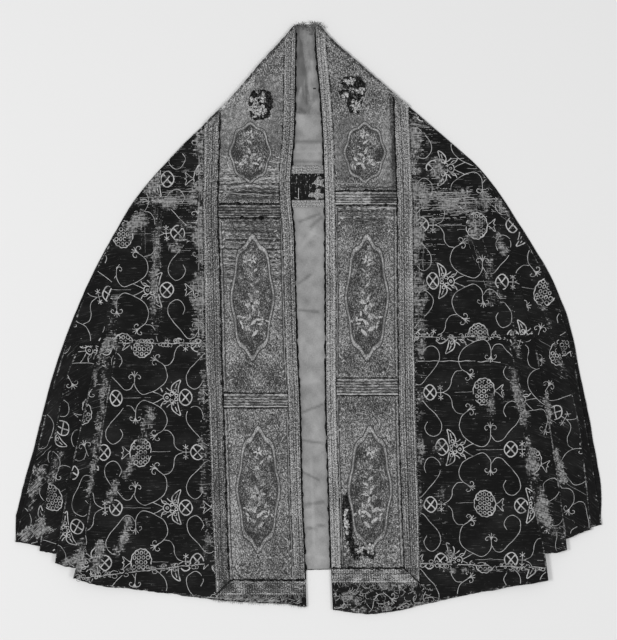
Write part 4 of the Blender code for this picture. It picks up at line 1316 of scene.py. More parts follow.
def lining_height(x, depth):
    total = 0.00018 * ripple(x, depth, 0.03, 0.10, 12, 0.6) + 0.00006 * ripple(x, depth, 0.008, 0.02, 13)
    for row in LINING_CREASES:
        near, _ = along_line(row, x, depth)
        total = total + row[5] * near
    total = total + 0.0005 * smoothstep(1 - np.abs(depth - LINING_SEAM - 0.006) / 0.006)
    below = smoothstep((depth - 0.02) / 0.03) * smoothstep((OPENING - np.abs(x)) / 0.02)
    strap = smoothstep(np.abs(depth - STRAP_MIDDLE) / 0.012 - 4.4)
    return np.clip(total, -0.0006, 0.0012) * below * strap


# %% Finish of the lining
def make_lining():
    material, tree, shader = new_finish("lining_cloth", 0.85, 0.1, 0.5, 0.2)
    warp, weft = noise(tree, "object", (1400, 130)), noise(tree, "object", (130, 1400))
    stains = noise(tree, "object", (14, 7), 5.0, 0.6)
    upper = noise(tree, "object", (34, 16), 4.0, 0.6)
    flecks = noise(tree, "object", 420.0, 2.0, 0.6)
    height = add(tree, "ShaderNodeSeparateXYZ", {"Vector": texture_place(tree, "object")}).outputs["Y"]
    seam_y = NECK_Y - LINING_SEAM
    near_neck = remap(tree, height, seam_y - 0.004, seam_y + 0.004)
    plain = blend(tree, remap(tree, stains, 0.35, 0.68), grey(0.245), grey(0.315))
    aged = blend(tree, remap(tree, upper, 0.36, 0.62), grey(0.165), grey(0.265))
    weave = math_node(tree, "ADD", warp, weft)
    # The tone attribute brings in the lining's painted shade and light
    level = weighted(tree, (weave, 1.0), (flecks, 0.8), (attribute(tree, "tone"), 2.2))
    threads = remap(tree, level, 1.35, 3.25, 0.56, 1.20)
    shade = add(tree, "ShaderNodeCombineColor", {"Red": threads, "Green": threads, "Blue": threads})
    colour = blend(tree, 1.0, blend(tree, near_neck, plain, aged), shade.outputs["Color"], "MULTIPLY")
    tree.links.new(colour, shader.inputs["Base Color"])
    bump(tree, shader, weave, 0.0003, 0.5)
    return material


LINING_CLOTH = make_lining()


def lining_tone_and_shade(x, depth):
    """Tone of the lining. It is darker towards the neck and varies at random. The rest is painted shade and
    light: darker to the left of a fold by the neck, darker in the troughs of the creases and lighter on their
    ridges, and darker close to the fronts, where their shadow falls.
    """
    total = 0.5 + 0.10 * ripple(x, depth, 0.02, 0.09, 14) - 0.16 * smoothstep(1 - depth / 0.21)
    # Painted shade to the left of a fold in the lining by the neck
    fold_at = np.interp(depth, [0.03, 0.05, 0.127, 0.174, 0.19], [-0.022, -0.0135, -0.006, -0.028, -0.050])
    total = total - 0.75 * smoothstep((fold_at - x) / 0.003) * smoothstep((0.20 - depth) / 0.02)
    # Painted shade in the troughs of the creases and painted light on their ridges
    for row in LINING_CREASES:
        near, _ = along_line(row, x, depth)
        total = total - (0.42 if row[5] < 0 else -0.20) * near ** 2
    # Painted shadow of the fronts on the lining, close to their edges
    room = np.where(x < 0, front_edge("left", depth), front_edge("right", depth)) - np.abs(x)
    return total - 0.24 * smoothstep(1 - room / 0.012)


# %% The two pieces of the lining
def back_reach(side, depth, inset):
    return outline(side, np.minimum(depth, PLEAT_HEMS[side][2][1])) - inset


def back_hem(x):
    corners = {side: PLEAT_HEMS[side][2][1] for side in SIGN}
    corner = np.where(x < 0, corners["left"], corners["right"])
    reach = np.where(x < 0, *[outline(side, corners[side]) for side in SIGN])
    return BACK_END - (BACK_END - corner) * (x / reach) ** 2


def lining_wall(name, depths, hem_gap, node, cut):
    """A piece of the lining: its columns are close together in the opening and far apart beside it."""
    reaches = [back_reach(side, depths, 0.0)[:, None] for side in SIGN]
    left_end, right_end = [reach - np.minimum(0.014, 0.12 * reach) - 0.0006 for reach in reaches]
    share = np.linspace(0, 1, 7)[:-1]
    middle = np.linspace(-OPENING, OPENING, 46) * np.minimum(1.0, np.minimum(left_end, right_end) / 0.11)
    left = -left_end + (middle[:, :1] + left_end) * share
    right = middle[:, -1:] + (right_end - middle[:, -1:]) * (1 - share[::-1])
    x = np.concatenate([left, middle, right], axis=1)
    d = np.minimum(np.repeat(depths[:, None], x.shape[1], 1), back_hem(x) - hem_gap)
    top = LINING_TOP + lining_height(x, d)
    made = wall(name, "right", x, d, top, top - LINING, LINING_CLOTH, (x, d))
    set_value(made, "tone", lining_tone_and_shade(x, d))
    return lay(made, "lining", node, cut)


lining_wall("lining_by_neck", np.linspace(0.006, LINING_SEAM - HAIR, 54), 0.0, "lining_top", (0.54, 0.24))
lower_rows = np.concatenate([np.linspace(LINING_SEAM + HAIR, 1.18, 230), np.linspace(1.19, 1.34, 24)])
lining_wall("lining_lower", lower_rows, 0.0022, "lining_body", (1.44, 1.14))

# %% [markdown]
# ## The clasp strap
# A strap of the same velvet joins the fronts at the chest, bound above and below with a flat, speckled
# braid. Two scraps of an older figure and a loose thread are all that is left of its decoration.


# %% Braid: a woven band with lengthwise ribs and a lively, speckled face
def colour_by_level(tree, shader, tones, relief, *noises):
    """Greys and a relief from a sum of weighted noises and the piece's own tone."""
    level = math_node(tree, "SUBTRACT", weighted(tree, *noises, (attribute(tree, "tone"), 1.0)), 0.685)
    tree.links.new(ramp(tree, level, tuple(zip((0.70, 0.87, 1.10), tones))), shader.inputs["Base Color"])
    bump(tree, shader, level, *relief)


def make_braid(name, tones, ribs):
    material, tree, shader = new_finish(name, 0.7, 0.12, 0.5, 0.28)
    across = add(tree, "ShaderNodeSeparateXYZ", {"Vector": texture_place(tree, "cloth")}).outputs["X"]
    rib = math_node(tree, "SINE", math_node(tree, "MULTIPLY", across, ribs))
    speckle = noise(tree, "cloth", (400, 320), 2.5, 0.66)
    grain, drift = noise(tree, "cloth", (800, 520), 1.0), noise(tree, "cloth", (18, 9), 3.0)
    noises = (grain, 0.34), (speckle, 1.55), (rib, 0.050), (drift, 0.16)
    colour_by_level(tree, shader, tones, (0.0015, 0.75), *noises)
    return material


GUARD_BRAID = make_braid("guard_braid", (0.010, 0.128, 0.50), 1100.0)
STRAP_BRAID = make_braid("strap_braid", (0.09, 0.26, 0.52), 900.0)


def strap_wall(name, first, last, low, thickness, out, material, relief, rows=22, columns=44):
    """A band across the opening. out is how far it goes under the fronts."""
    depths = np.linspace(first, last, rows)
    start, end = -front_edge("left", depths) - out, front_edge("right", depths) + out
    x = start[:, None] + (end - start)[:, None] * np.linspace(0, 1, columns)
    d = depths[:, None] + 0.0005 * ripple(x, 0, 0.02, 0.05, int(first * 1000))
    across = np.linspace(0, 1, rows)[:, None]
    dome = smoothstep(np.minimum(across, 1 - across) / 0.2) + 0.25 * ripple(x, d, 0.004, 0.012, 17) - 0.3
    top = low + thickness + relief * dome
    made = wall(name, "right", x, d, top, low, material, (d, x), np.full(x.shape, 0.22))
    set_value(made, "tone", np.full(x.size, 0.5))
    return made


strap = strap_wall("clasp_velvet", 0.3467, 0.4484, 0.0038, 0.0010, 0.012, VELVET, 0.0001)
lay(strap, "velvet", "clasp_strap", (0.12, 0.11))
for name, first, last in (("upper", 0.3467, 0.3663), ("lower", 0.4312, 0.4484)):
    sizes = 0.0051, 0.0012, -0.0020, STRAP_BRAID, 0.0006, 14, 60
    braid = strap_wall(f"clasp_braid_{name}_band", first, last, *sizes)
    lay(braid, "guard_braid", f"clasp_braid_{name}", (0.092, 0.021))


# %% A thin plate, and faces that point outward
def plate(side, x, d, edge_x, edge_d, heights, inner):
    """A thin plate round a middle, as vertices and faces.

    The edge is given from the middle. The heights are those of the plate's foot, rim, inner ring and middle.
    """
    count = len(edge_x)
    step = np.arange(count)
    after = (step + 1) % count
    rings = [place(side, x + size * edge_x, d + size * edge_d, z) for size, z in zip((1, 1, inner), heights)]
    faces = [*np.stack([after, step, np.full(count, 3 * count)], 1)]
    for ring in (0, 1):
        a, b = step + ring * count, after + ring * count
        faces += [*np.stack([a, b, b + count], 1), *np.stack([a, b + count, a + count], 1)]
    faces += [*np.stack([step + 2 * count, after + 2 * count, np.full(count, 3 * count + 1)], 1)]
    return np.concatenate([*rings, [place(side, x, d, heights[0]), place(side, x, d, heights[3])]]), faces


def face_outward(made):
    """Makes every face of a closed piece point outward."""
    mesh = bmesh.new()
    mesh.from_mesh(made.data)
    bmesh.ops.recalc_face_normals(mesh, faces=mesh.faces)
    mesh.to_mesh(made.data)
    mesh.free()
    return made


# %% The scraps of an older figure on the strap, and a loose thread
def scrap(x, d, chart):
    """A flat scrap of cloth with a ragged edge."""
    edge = smooth_path(np.array(chart + chart[:1], float) * STEP, 0.0016)[:-1]
    edge = edge + 0.0004 * np.stack([ripple(edge[:, 0], edge[:, 1], 0.003, 0.008, s) for s in (5, 6)], -1)
    return plate("right", x, d, *edge.T, (0.00495, 0.0056, 0.0058, 0.0059), 0.8)


def build_scraps():
    star = [
        (0, -6.4), (2, -2.6), (6, -3.4), (4.6, 0.6), (6.4, 4.6), (1.4, 3.4), (-2, 5.6), (-2.8, 1.8),
        (-6.2, 1.6), (-3, -1.6),
    ]
    cross = [
        (-1, -5.6), (2.6, -5), (3, -1.2), (6.6, -0.4), (5.6, 3.6), (2.2, 4), (-0.6, 6), (-3, 3), (-8.6, 2.4),
        (-7, -1.4), (-2.6, -1.8),
    ]
    vertices, faces = joined([scrap(0.0235, 0.3880, star), scrap(0.0215, 0.4170, cross)])
    piece = face_outward(add_mesh("clasp_scraps", vertices, faces, STRAP_BRAID, vertices[:, :2]))
    set_value(piece, "tone", np.full(len(vertices), 0.50))
    lay(piece, "guard_braid")
    drop = smooth_path([(-0.0245, 0.4015), (-0.0243, 0.4120), (-0.0247, 0.4205), (-0.0240, 0.4290)], 0.002)
    tufts = [(place("right", *drop.T, STRAP_TOP), 1.0, 0.95)]
    ends = (-0.030, 0.426, 0.4), (-0.034, 0.424, -0.6), (-0.004, 0.385, 1.2), (0.002, 0.398, 0.3)
    for x, d, turn in ends:
        lean = math.cos(turn)
        path = smooth_path([(x, d), (x + 0.003 * lean, d + 0.003), (x + 0.005 * lean, d + 0.001)], 0.0015)
        tufts.append((place("right", *path.T, STRAP_TOP), 0.8, 0.7))
    lay_threads("clasp_loose_threads", tufts, (0.0008, 0.0005), PATTERN_THREAD, slot="guard_braid")


build_scraps()


# %% The small hole in the lining, with its turned edge
HOLE = 0.0147, 0.1575


def build_hole():
    turn = 2 * np.pi * np.linspace(0, 1, 15)
    x, d = HOLE[0] + 0.0034 * np.cos(turn), HOLE[1] + 0.0016 * np.sin(turn)
    z = LINING_TOP + lining_height(x, d)
    rim = [(place("right", x, d, z + 0.0001), 1.0, 0.1)]
    across = np.array([0.0120, HOLE[0], 0.0176])
    for shift in (-0.0005, 0.0005):
        rim.append((place("right", across, HOLE[1] + shift, z.mean() + 0.0003), 3.0, 0.0))
    lay_threads("lining_hole_edge", rim, (0.0005, 0.0003), DARK_THREAD, slot="lining")


DARK_THREAD = make_thread("dark_thread", 0.008, 0.035)
build_hole()
print("lining and strap made")

# %% [markdown]
# ## The orphreys
# An orphrey is an embroidered band that is sewn down each front edge. Its ground is covered with couched
# metal thread, which has lost much of its gilding and reads as a fine grey speckle. Woven braids, called
# guards here, frame three panels on each side, and ribbed bands part them. The panels hold a plain ornament
# of leaves in pointed frames. Each piece keeps a narrow gap from the next one, so the dark velvet shows
# between them as a fine line.


# %% Needlework: a close speckle of couched thread
def make_needlework(name, tones, roughness=0.72):
    """Its rows attribute turns the speckle into level rows, and its plain attribute calms it."""
    material, tree, shader = new_finish(name, roughness, 0.12, 0.5, 0.28)
    here = texture_place(tree, "object")
    bend = add(tree, "ShaderNodeTexNoise", {"Vector": here, "Scale": 26.0, "Detail": 2.0}).outputs["Color"]
    less = {0: bend, 1: (0.06, 0.06, 0.0)}
    swirl = add(tree, "ShaderNodeVectorMath", less, operation="MULTIPLY").outputs[0]
    laid = add(tree, "ShaderNodeVectorMath", {0: here, 1: swirl}, operation="ADD").outputs[0]
    bent = {"Vector": laid, "Scale": 62.0, "Distortion": 2.0, "Detail Scale": 6.0}
    rows = add(tree, "ShaderNodeTexWave", bent).outputs["Fac"]
    loose, upright = noise(tree, "object", 360.0, 2.4, 0.66), noise(tree, "object", (520, 150), 2.4, 0.66)
    speckle = math_node(tree, "SUBTRACT", weighted(tree, (upright, 0.525), (loose, 0.725)), 0.125)
    apart = math_node(tree, "SUBTRACT", noise(tree, "object", (110, 520), 3.0, 0.7), speckle)
    speckle = math_node(tree, "MULTIPLY_ADD", apart, attribute(tree, "rows"), speckle)
    calm = math_node(tree, "MULTIPLY_ADD", attribute(tree, "plain"), -0.62, 1.0)
    speckle = math_node(tree, "MULTIPLY_ADD", math_node(tree, "SUBTRACT", speckle, 0.5), calm, 0.5)
    grain, drift = noise(tree, "object", 760.0, 1.0), noise(tree, "object", 22.0, 4.0, 0.6)
    noises = (grain, 0.36), (speckle, 1.55), (rows, 0.060), (drift, 0.16)
    colour_by_level(tree, shader, tones, (0.0016, 0.8), *noises)
    return material


NEEDLEWORK = make_needlework("needlework", (0.010, 0.125, 0.52))
RIBBED = make_needlework("ribbed_thread", (0.010, 0.110, 0.48))
APPLIED = make_needlework("applied_thread", (0.012, 0.120, 0.50), 0.66)


# %% Strips of the orphrey
def strip(name, side, depths, inner, outer, columns, thickness, material, slot, node, cut, paint):
    """A strip of an orphrey between two edges, cut along the cope's outer fold.

    paint gives each point's extra height and tone from its place across, its offset and its depth.
    """
    low, high = inner(depths), outer(depths)
    limit = outline(side, depths) - 0.005
    high = np.where(high > limit, limit - 0.0007 + 0.0007 * ripple(depths, 0, 0.006, 0.03, 7), high)
    share = np.repeat(np.linspace(0, 1, columns)[None], len(depths), 0)
    x, d = low[:, None] + (high - low)[:, None] * share, np.repeat(depths[:, None], columns, 1)
    height, tone, *zones = paint(share, x, d)
    width = (outer(depths) - inner(depths))[:, None]
    ends = smoothstep(np.minimum(share, 1 - share) * width / 0.0016)
    top = PANEL_Z + thickness + height * ends - 0.0007 * (1 - ends)
    made = wall(name, side, x, d, top, PANEL_Z, material, (share * width, d), step=8)
    for attribute_name, values in zip(("tone", "rows", "plain"), (tone, *zones)):
        set_value(made, attribute_name, values)
    return lay(made, slot, node, cut)


def shifted(edge, shift, depth):
    return edge(depth) + shift


def edges_of(side):
    """The edges of an orphrey's pieces, as functions of the depth."""
    start = partial(front_edge, side)
    front, guard_in = partial(shifted, start, 0.0016), partial(shifted, start, INNER_GUARD[side])
    return front, guard_in, partial(section, side, "guard_seam"), partial(orphrey_edge, side)


def first_depth(side, inner, outer, width):
    """The depth from which a strip has some width inside the cope's outline."""
    depths = np.arange(0.0, 0.4, 0.002)
    room = np.minimum(outer(depths), outline(side, depths) - 0.005) - inner(depths)
    return float(depths[np.argmax(room >= width)])


# %% [markdown]
# ## Guards
# A guard is a flat woven braid with lengthwise ribs. Some of its threads are lighter than others, so it
# shows a pale line near each edge. At the bottom corner the two braids are folded into a mitre, where the
# ribs turn the corner.


# %% Guards and bands
def rib_lines(across, width):
    """Height and tone of a braid's ribs, from the place across it."""
    rib = np.cos(2 * np.pi * across / 0.0058)
    pale = smoothstep(1 - np.abs(across - (width - 0.0042)) / 0.0016)
    pale = pale + 0.6 * smoothstep(1 - np.abs(across - 0.005) / 0.0016)
    dark = smoothstep(1 - np.abs(across - 0.42 * width) / 0.0013)
    return 0.00022 * rib + 0.0002 * pale - 0.0004 * dark, 0.035 * rib + 0.17 * pale - 0.16 * dark


def paint_guard(seed, width, light, fade):
    def paint(share, x, d):
        height, tone = rib_lines(share * width, width)
        lift = 0.00016 * ripple(x, d, 0.004, 0.012, seed) + 0.0002 * ripple(x, d, 0.03, 0.12, seed + 1)
        worn = 0.035 * ripple(x, d, 0.02, 0.10, seed + 2, 3.0)
        worn = worn + 0.05 * ripple(x, d, 0.005, 0.014, seed + 3, 1.6)
        return height + lift, light + tone + worn - fade * smoothstep((d - 0.5) / 0.6)
    return paint


def paint_bottom(outer, end, light):
    def paint(share, x, d):
        from_side, from_end = outer(d) - x, (end - d) * 1.02
        height, tone = rib_lines(0.038 - np.minimum(from_side, from_end), 0.038)
        mitre = smoothstep(1 - np.abs(from_side - from_end) / 0.0022)
        lift = 0.00016 * ripple(x, d, 0.004, 0.012, 60) + 0.0002 * ripple(x, d, 0.03, 0.1, 61)
        tone = tone - 0.30 * mitre + 0.08 * ripple(x, d, 0.01, 0.06, 62)
        return height + lift - 0.0006 * mitre, light + tone
    return paint


def paint_band(start, end, patch, light):
    def paint(share, x, d):
        rib = np.cos(2 * np.pi * (d - start) / 0.0066 + 0.5 * ripple(x, 0, 0.05, 0.2, 70))
        edge = smoothstep(1 - np.abs(np.minimum(d - start, end - d) - 0.0036) / 0.0020)
        tone = light + 0.11 * rib + 0.24 * edge + 0.06 * ripple(x, d, 0.02, 0.06, 71, 0.4)
        if patch:
            tone = tone - 0.15 * (x > patch[0]) * (x < patch[1])
        return 0.00035 * rib + 0.0003 * edge, tone, np.ones(x.shape), np.full(x.shape, 0.3)
    return paint


# %% The guards and bands of a side
def build_frame(side):
    front, guard_in, guard_out, outer = edges_of(side)
    start, end = BOTTOM_GUARD[side]
    left = side == "left"
    gap = 0.0013 if left else 0.0008

    def outer_end(d):
        return outer(d) + 0.0007 * ripple(d, 0, 0.03, 0.12, 44)

    def guard(kind, rows, low, high, columns, cut, paint):
        name, node = f"{side}_guard_{kind}", f"{side}_{kind}_guard"
        strip(name, side, rows, low, high, columns, GUARD, GUARD_BRAID, "guard_braid", node, cut, paint)

    rows = np.linspace(first_depth(side, front, guard_in, 0.002), start - 0.0009, 420)
    paint = paint_guard(30, INNER_GUARD[side], 0.51 if left else 0.57, 0.0)
    guard("inner", rows, front, partial(shifted, guard_in, -HAIR), 16, (0.029, 1.40), paint)
    rows = np.linspace(first_depth(side, guard_out, outer, 0.003), start - 0.0002, 400)
    paint = paint_guard(40, 0.038, 0.49 if left else 0.53, 0.055)
    guard("outer", rows, partial(shifted, guard_out, gap), outer_end, 20, (0.041, 1.36), paint)
    paint = paint_bottom(outer, end, 0.45 if left else 0.50)
    guard("bottom", np.linspace(start + 0.0010, end, 20), front, outer_end, 110, (0.235, 0.0375), paint)
    for number, (top, low) in enumerate(BANDS[side], 1):
        rows = np.linspace(top + 0.0014, low - 0.0014, 44)
        patch = (0.152, 0.218) if (side, number) == ("right", 1) else None
        paint = paint_band(top, low, patch, {"left": (0.38, 0.46), "right": (0.52, 0.46)}[side][number - 1])
        strip(
            f"{side}_band_{number}", side, rows, partial(shifted, guard_in, 0.0004),
            partial(shifted, guard_out, -gap), 70,
            BAND, RIBBED, "ribbed_band", f"{side}_cross_band_{number}", (0.182, low - top), paint,
        )


# %% [markdown]
# ## Panels
# The ground of a panel is one sheet with a low, lively relief. Small differences of tone show where thread
# has worn and where it was couched another way.


# %% Panels
# Middle offset and depth and half sizes of the grounds that are worked in level rows, and of those left plain
IN_ROWS = {
    "left": ((0.130, 0.560, 0.110, 0.090), (0.130, 0.385, 0.110, 0.045)),
    "right": ((0.130, 0.450, 0.110, 0.040),),
}
PLAIN = {
    "left": ((0.150, 0.270, 0.085, 0.075), (0.105, 0.190, 0.050, 0.060)),
    "right": ((0.115, 0.300, 0.075, 0.080), (0.195, 0.330, 0.025, 0.120)),
}
SHADES = {
    # middle offset and depth, half sizes, change of tone
    "left": {
        "top": (
            (0.170, 0.200, 0.060, 0.100, 0.05), (0.130, 0.370, 0.080, 0.030, 0.06),
            (0.130, 0.420, 0.080, 0.016, -0.10),
        ),
        "middle": ((0.120, 0.520, 0.070, 0.040, -0.05), (0.130, 0.860, 0.080, 0.040, -0.06)),
        "lower": (
            (0.120, 0.990, 0.070, 0.040, -0.02), (0.185, 1.240, 0.020, 0.100, 0.06),
            (0.070, 1.30, 0.03, 0.06, -0.06),
        ),
    },
    "right": {
        "top": (
            (0.085, 0.150, 0.040, 0.080, -0.03), (0.180, 0.300, 0.022, 0.090, 0.04),
            (0.120, 0.385, 0.070, 0.016, -0.04),
        ),
        "middle": ((0.140, 0.500, 0.070, 0.040, -0.05), (0.130, 0.830, 0.080, 0.030, -0.05)),
        "lower": (
            (0.130, 0.945, 0.080, 0.035, -0.05), (0.190, 1.180, 0.016, 0.110, -0.05),
            (0.085, 1.30, 0.03, 0.05, -0.08),
        ),
    },
}
GUARD_SHADOW_END = 0.47


# %% Relief and tone of a panel, and the panels of a side
def oval_zone(row, x, d, ragged, soft, seed):
    """1 in an oval with a ragged, soft edge, and 0 outside it."""
    middle_x, middle_d, half_x, half_d = row[:4]
    away = np.hypot((x - middle_x) / half_x, (d - middle_d) / half_d)
    return smoothstep((1.12 - away - ragged * ripple(x, d, 0.012, 0.04, seed)) / soft)


def zone_of(rows, x, d, seed):
    return np.max([oval_zone(row, x, d, 0.12, 0.22, seed) for row in rows], axis=0)


def paint_panel(side, seed, shades):
    def paint(share, x, d):
        tone = 0.48 + 0.025 * ripple(x, d, 0.03, 0.12, seed) + 0.035 * ripple(x, d, 0.006, 0.02, seed + 1)
        for row in shades:
            tone = tone + row[4] * oval_zone(row, x, d, 0.16, 0.30, seed + 2)
        if side == "right":
            ragged = 0.0125 + 0.0012 * ripple(x, d, 0.02, 0.08, seed + 8)
            by_guard = x - section(side, "guard_seam", d) + ragged
            tone = tone - 0.12 * smoothstep(by_guard / 0.004) * (d < GUARD_SHADOW_END)
        relief = 0.00018 * ripple(x, d, 0.005, 0.012, seed + 3) + 0.00022 * ripple(x, d, 0.02, 0.08, seed + 4)
        rows, plain = zone_of(IN_ROWS[side], x, d, seed + 5), zone_of(PLAIN[side], x, d, seed + 6)
        turn = 2 * np.pi * (d + 0.0012 * ripple(x, 0, 0.03, 0.12, seed + 7))
        gaps = smoothstep(np.cos(turn / 0.023) * 6 - 5)
        return relief, tone + rows * (0.07 * np.cos(turn / 0.0105) - 0.20 * gaps), rows, plain
    return paint


def build_panels(side):
    _, guard_in, guard_out, _ = edges_of(side)
    gap, more, seed = (0.0014, 0.0, 80) if side == "left" else (0.0009, 0.0012, 90)

    inside = partial(shifted, guard_in, HAIR)

    def outside(d):
        return guard_out(d) - gap - more * (d < GUARD_SHADOW_END)

    (first_start, first_end), (second_start, second_end) = BANDS[side]
    top = first_depth(side, inside, guard_out, 0.003)
    pieces = (
        ("top", top, first_start - 0.0012, 0.42), ("middle", first_end + 0.0012, second_start - 0.0012, 0.44),
        ("lower", second_end + 0.0012, BOTTOM_GUARD[side][0] - 0.0014, 0.44),
    )
    for number, (name, start, end, length) in enumerate(pieces, seed):
        rows = np.linspace(start, end, int((end - start) / 0.0026))
        paint = paint_panel(side, 7 * number, SHADES[side][name])
        strip(
            f"{side}_panel_{name}", side, rows, inside, outside, 62, PANEL, NEEDLEWORK, "needlework",
            f"{side}_orphrey_{name}_panel", (0.186, length), paint,
        )


for side in SIGN:
    build_frame(side)
    build_panels(side)
print("frames and panels made")

# %% [markdown]
# ## Leaves in pointed frames
# Each panel carries a pointed oval frame of cord with a plant in it, and the larger panels have small
# sprays in their corners. Leaves repeat everywhere, so a node tree sets one pointed, domed leaf on every
# point of a list, turned and scaled by the point's own values. Stems and outlines are cords from the thread
# tree.


# %% The leaf tree
def lying_ball(tree, segments, rings):
    """A ball whose poles lie along x."""
    ball = add(tree, "GeometryNodeMeshUVSphere", {"Segments": segments, "Rings": rings, "Radius": 1.0})
    turned_ball = {"Geometry": ball.outputs["Mesh"], "Rotation": (0, math.pi / 2, 0)}
    return add(tree, "GeometryNodeTransform", turned_ball).outputs["Geometry"]


def set_on_points(tree, points, instance, rotation, scale):
    inputs = {"Points": points, "Instance": instance, "Rotation": rotation, "Scale": scale}
    return add(tree, "GeometryNodeInstanceOnPoints", inputs).outputs["Instances"]


def leaf_tree():
    tree, start = start_tree("leaves_on_points", {"Thickness": 0.0006})
    position = add(tree, "GeometryNodeInputPosition").outputs[0]
    x, y, z = add(tree, "ShaderNodeSeparateXYZ", {"Vector": position}).outputs
    square = math_node(tree, "MULTIPLY", x, x)
    narrow = math_node(tree, "SUBTRACT", 1.0, math_node(tree, "MULTIPLY", square, 0.55))
    pointed = combine(tree, x, math_node(tree, "MULTIPLY", y, narrow), z)
    moved = {"Geometry": lying_ball(tree, 10, 4), "Position": pointed}
    leaf = add(tree, "GeometryNodeSetPosition", moved).outputs["Geometry"]
    size = combine(tree, stored(tree, "length"), stored(tree, "breadth"), start["Thickness"])
    turn = combine(tree, 0.0, 0.0, stored(tree, "turn"))
    return end_tree(tree, start, set_on_points(tree, start["Geometry"], leaf, turn, size))


LEAF_TREE = leaf_tree()


def leaf_piece(name, leaves, thickness, material):
    """Leaves as one piece. A leaf is x, y, z, turn, half length, half breadth and tone."""
    table = np.array(leaves, float)
    made = new_object(name, table[:, :3])
    for column, attribute_name in enumerate(("turn", "length", "breadth", "tone"), 3):
        set_value(made, attribute_name, table[:, column])
    return run_tree(made, LEAF_TREE, {"Thickness": thickness, "Material": material})


# %% Leaves and cords, collected for each side
class Sewing:
    """Collects the leaves and cords of one side, in the side's own offsets and depths."""

    def __init__(self, side):
        self.side, self.leaves, self.cords, self.rng = side, [], [], np.random.default_rng(SIGN[side] + 12)

    def leaf(self, x, d, heading, length, breadth, tone, z):
        """heading 0 points outward and 90 points to the hem."""
        turn = math.radians(heading)
        dx, dy = SIGN[self.side] * math.cos(turn), -math.sin(turn)
        tone = tone + self.rng.uniform(-0.09, 0.09)
        middle = (x + 0.9 * length * math.cos(turn), d + 0.9 * length * math.sin(turn))
        point = place(self.side, *middle, z)
        self.leaves.append((*point, math.atan2(dy, dx), length, breadth, tone))

    def cord(self, path, z, thick=1.0, tone=0.5, step=0.003):
        path = smooth_path(path, step)
        path = path + 0.0004 * np.stack([ripple(path[:, 0], path[:, 1], 0.01, 0.04, s) for s in (1, 2)], -1)
        keep = path[:, 0] < outline(self.side, path[:, 1]) - 0.007
        for (points,) in cut_runs(keep, path):
            self.cords.append((place(self.side, *points.T, z), thick, tone))
        return path

    def rosette(self, x, d, radius, z, petals=8, tone=0.62):
        for index in range(petals):
            shade = tone - 0.16 * (index % 2)
            self.leaf(x, d, 360 * index / petals + 12, radius * 0.52, radius * 0.20, shade, z)
        self.leaf(x - 0.0016, d, 0, radius * 0.20, radius * 0.20, 0.22, z + 0.0003)

    def spray(self, path, z, leaf, tone, thick=0.9, spacing=0.011, fade=0.5):
        """A stem with leaves set by turns on its two sides, smaller towards its tip."""
        path = self.cord(path, z, thick, 0.16, 0.002)
        along = np.concatenate([[0], np.cumsum(np.linalg.norm(np.diff(path, axis=0), axis=1))])
        places = np.arange(spacing * 0.7, along[-1], spacing)
        for index, at in enumerate(places):
            here = min(max(np.searchsorted(along, at), 1), len(path) - 2)
            dx, dd = path[here + 1] - path[here - 1]
            heading = math.degrees(math.atan2(dd, dx)) + (48 if index % 2 else -48)
            size = leaf * (1 - fade * at / along[-1])
            if path[here, 0] + 2 * size < outline(self.side, path[here, 1]) - 0.008:
                self.leaf(*path[here], heading, size, size * 0.40, tone, z)


# %% The pointed frames
DEVICES = {
    # depth of the middle, half width, half height
    "top": (0.315, 0.050, 0.072), "middle": (0.670, 0.052, 0.150), "lower": (1.140, 0.052, 0.150),
}
DEVICE_Z = 0.0092
RINGS = (
    # size, lift and tone of each ring of a frame's padded ground
    (1.00, -0.0002, 0.30), (1.00, 0.0004, 0.30), (0.98, 0.0009, 0.52), (0.95, 0.0011, 0.55),
    (0.92, 0.0009, 0.50), (0.89, 0.0004, 0.30), (0.86, 0.0003, 0.36), (0.78, 0.0006, 0.38),
    (0.68, 0.0008, 0.40), (0.58, 0.0009, 0.40), (0.48, 0.0010, 0.40), (0.38, 0.0010, 0.40),
    (0.28, 0.0010, 0.40), (0.18, 0.0010, 0.40), (0.09, 0.0010, 0.40),
)


# %% The padded ground of a frame
def device_middle(side, depth):
    inner = front_edge(side, depth) + INNER_GUARD[side]
    return float((inner + section(side, "guard_seam", depth)) / 2)


def device_outline(half_width, half_height, size, count=96):
    turn = 2 * np.pi * np.arange(count) / count
    lobe = size * (1 + 0.05 * np.cos(8 * turn) * size)
    x = half_width * lobe * np.sin(turn) * (0.86 + 0.14 * np.abs(np.sin(turn)))
    return x, -half_height * lobe * np.cos(turn)


def device_ground(side, name):
    """The padded ground of a frame: a low dome of rings, with a pale band at its edge."""
    depth, half_width, half_height = DEVICES[name]
    middle = device_middle(side, depth)
    rings, shade = [], []
    for size, lift, tone in RINGS:
        x, d = device_outline(half_width, half_height, size)
        x, d = middle + x, depth + d
        lift = lift + 0.00012 * ripple(x, d, 0.006, 0.014, 120) * (lift > 0.0005)
        rings.append(place(side, x, d, DEVICE_Z + lift))
        upward = 0.05 * smoothstep((depth - d) / half_height)
        shade.append(tone + 0.07 * ripple(x, d, 0.02, 0.06, 121) + upward)
    count = len(rings[0])
    vertices = np.concatenate([*rings, [place(side, middle, depth, DEVICE_Z + 0.0010)]])
    step = np.arange(count)
    after = (step + 1) % count
    faces = [step[::-1]]
    for ring in range(len(rings) - 1):
        a, b = step + ring * count, after + ring * count
        faces += [*np.stack([a, b, b + count, a + count], 1)]
    last = (len(rings) - 1) * count
    faces += [*np.stack([step + last, after + last, np.full(count, len(vertices) - 1)], 1)]
    faces = [face[::-1] if SIGN[side] < 0 else face for face in faces]
    return vertices, faces, np.concatenate([*shade, [0.5]])


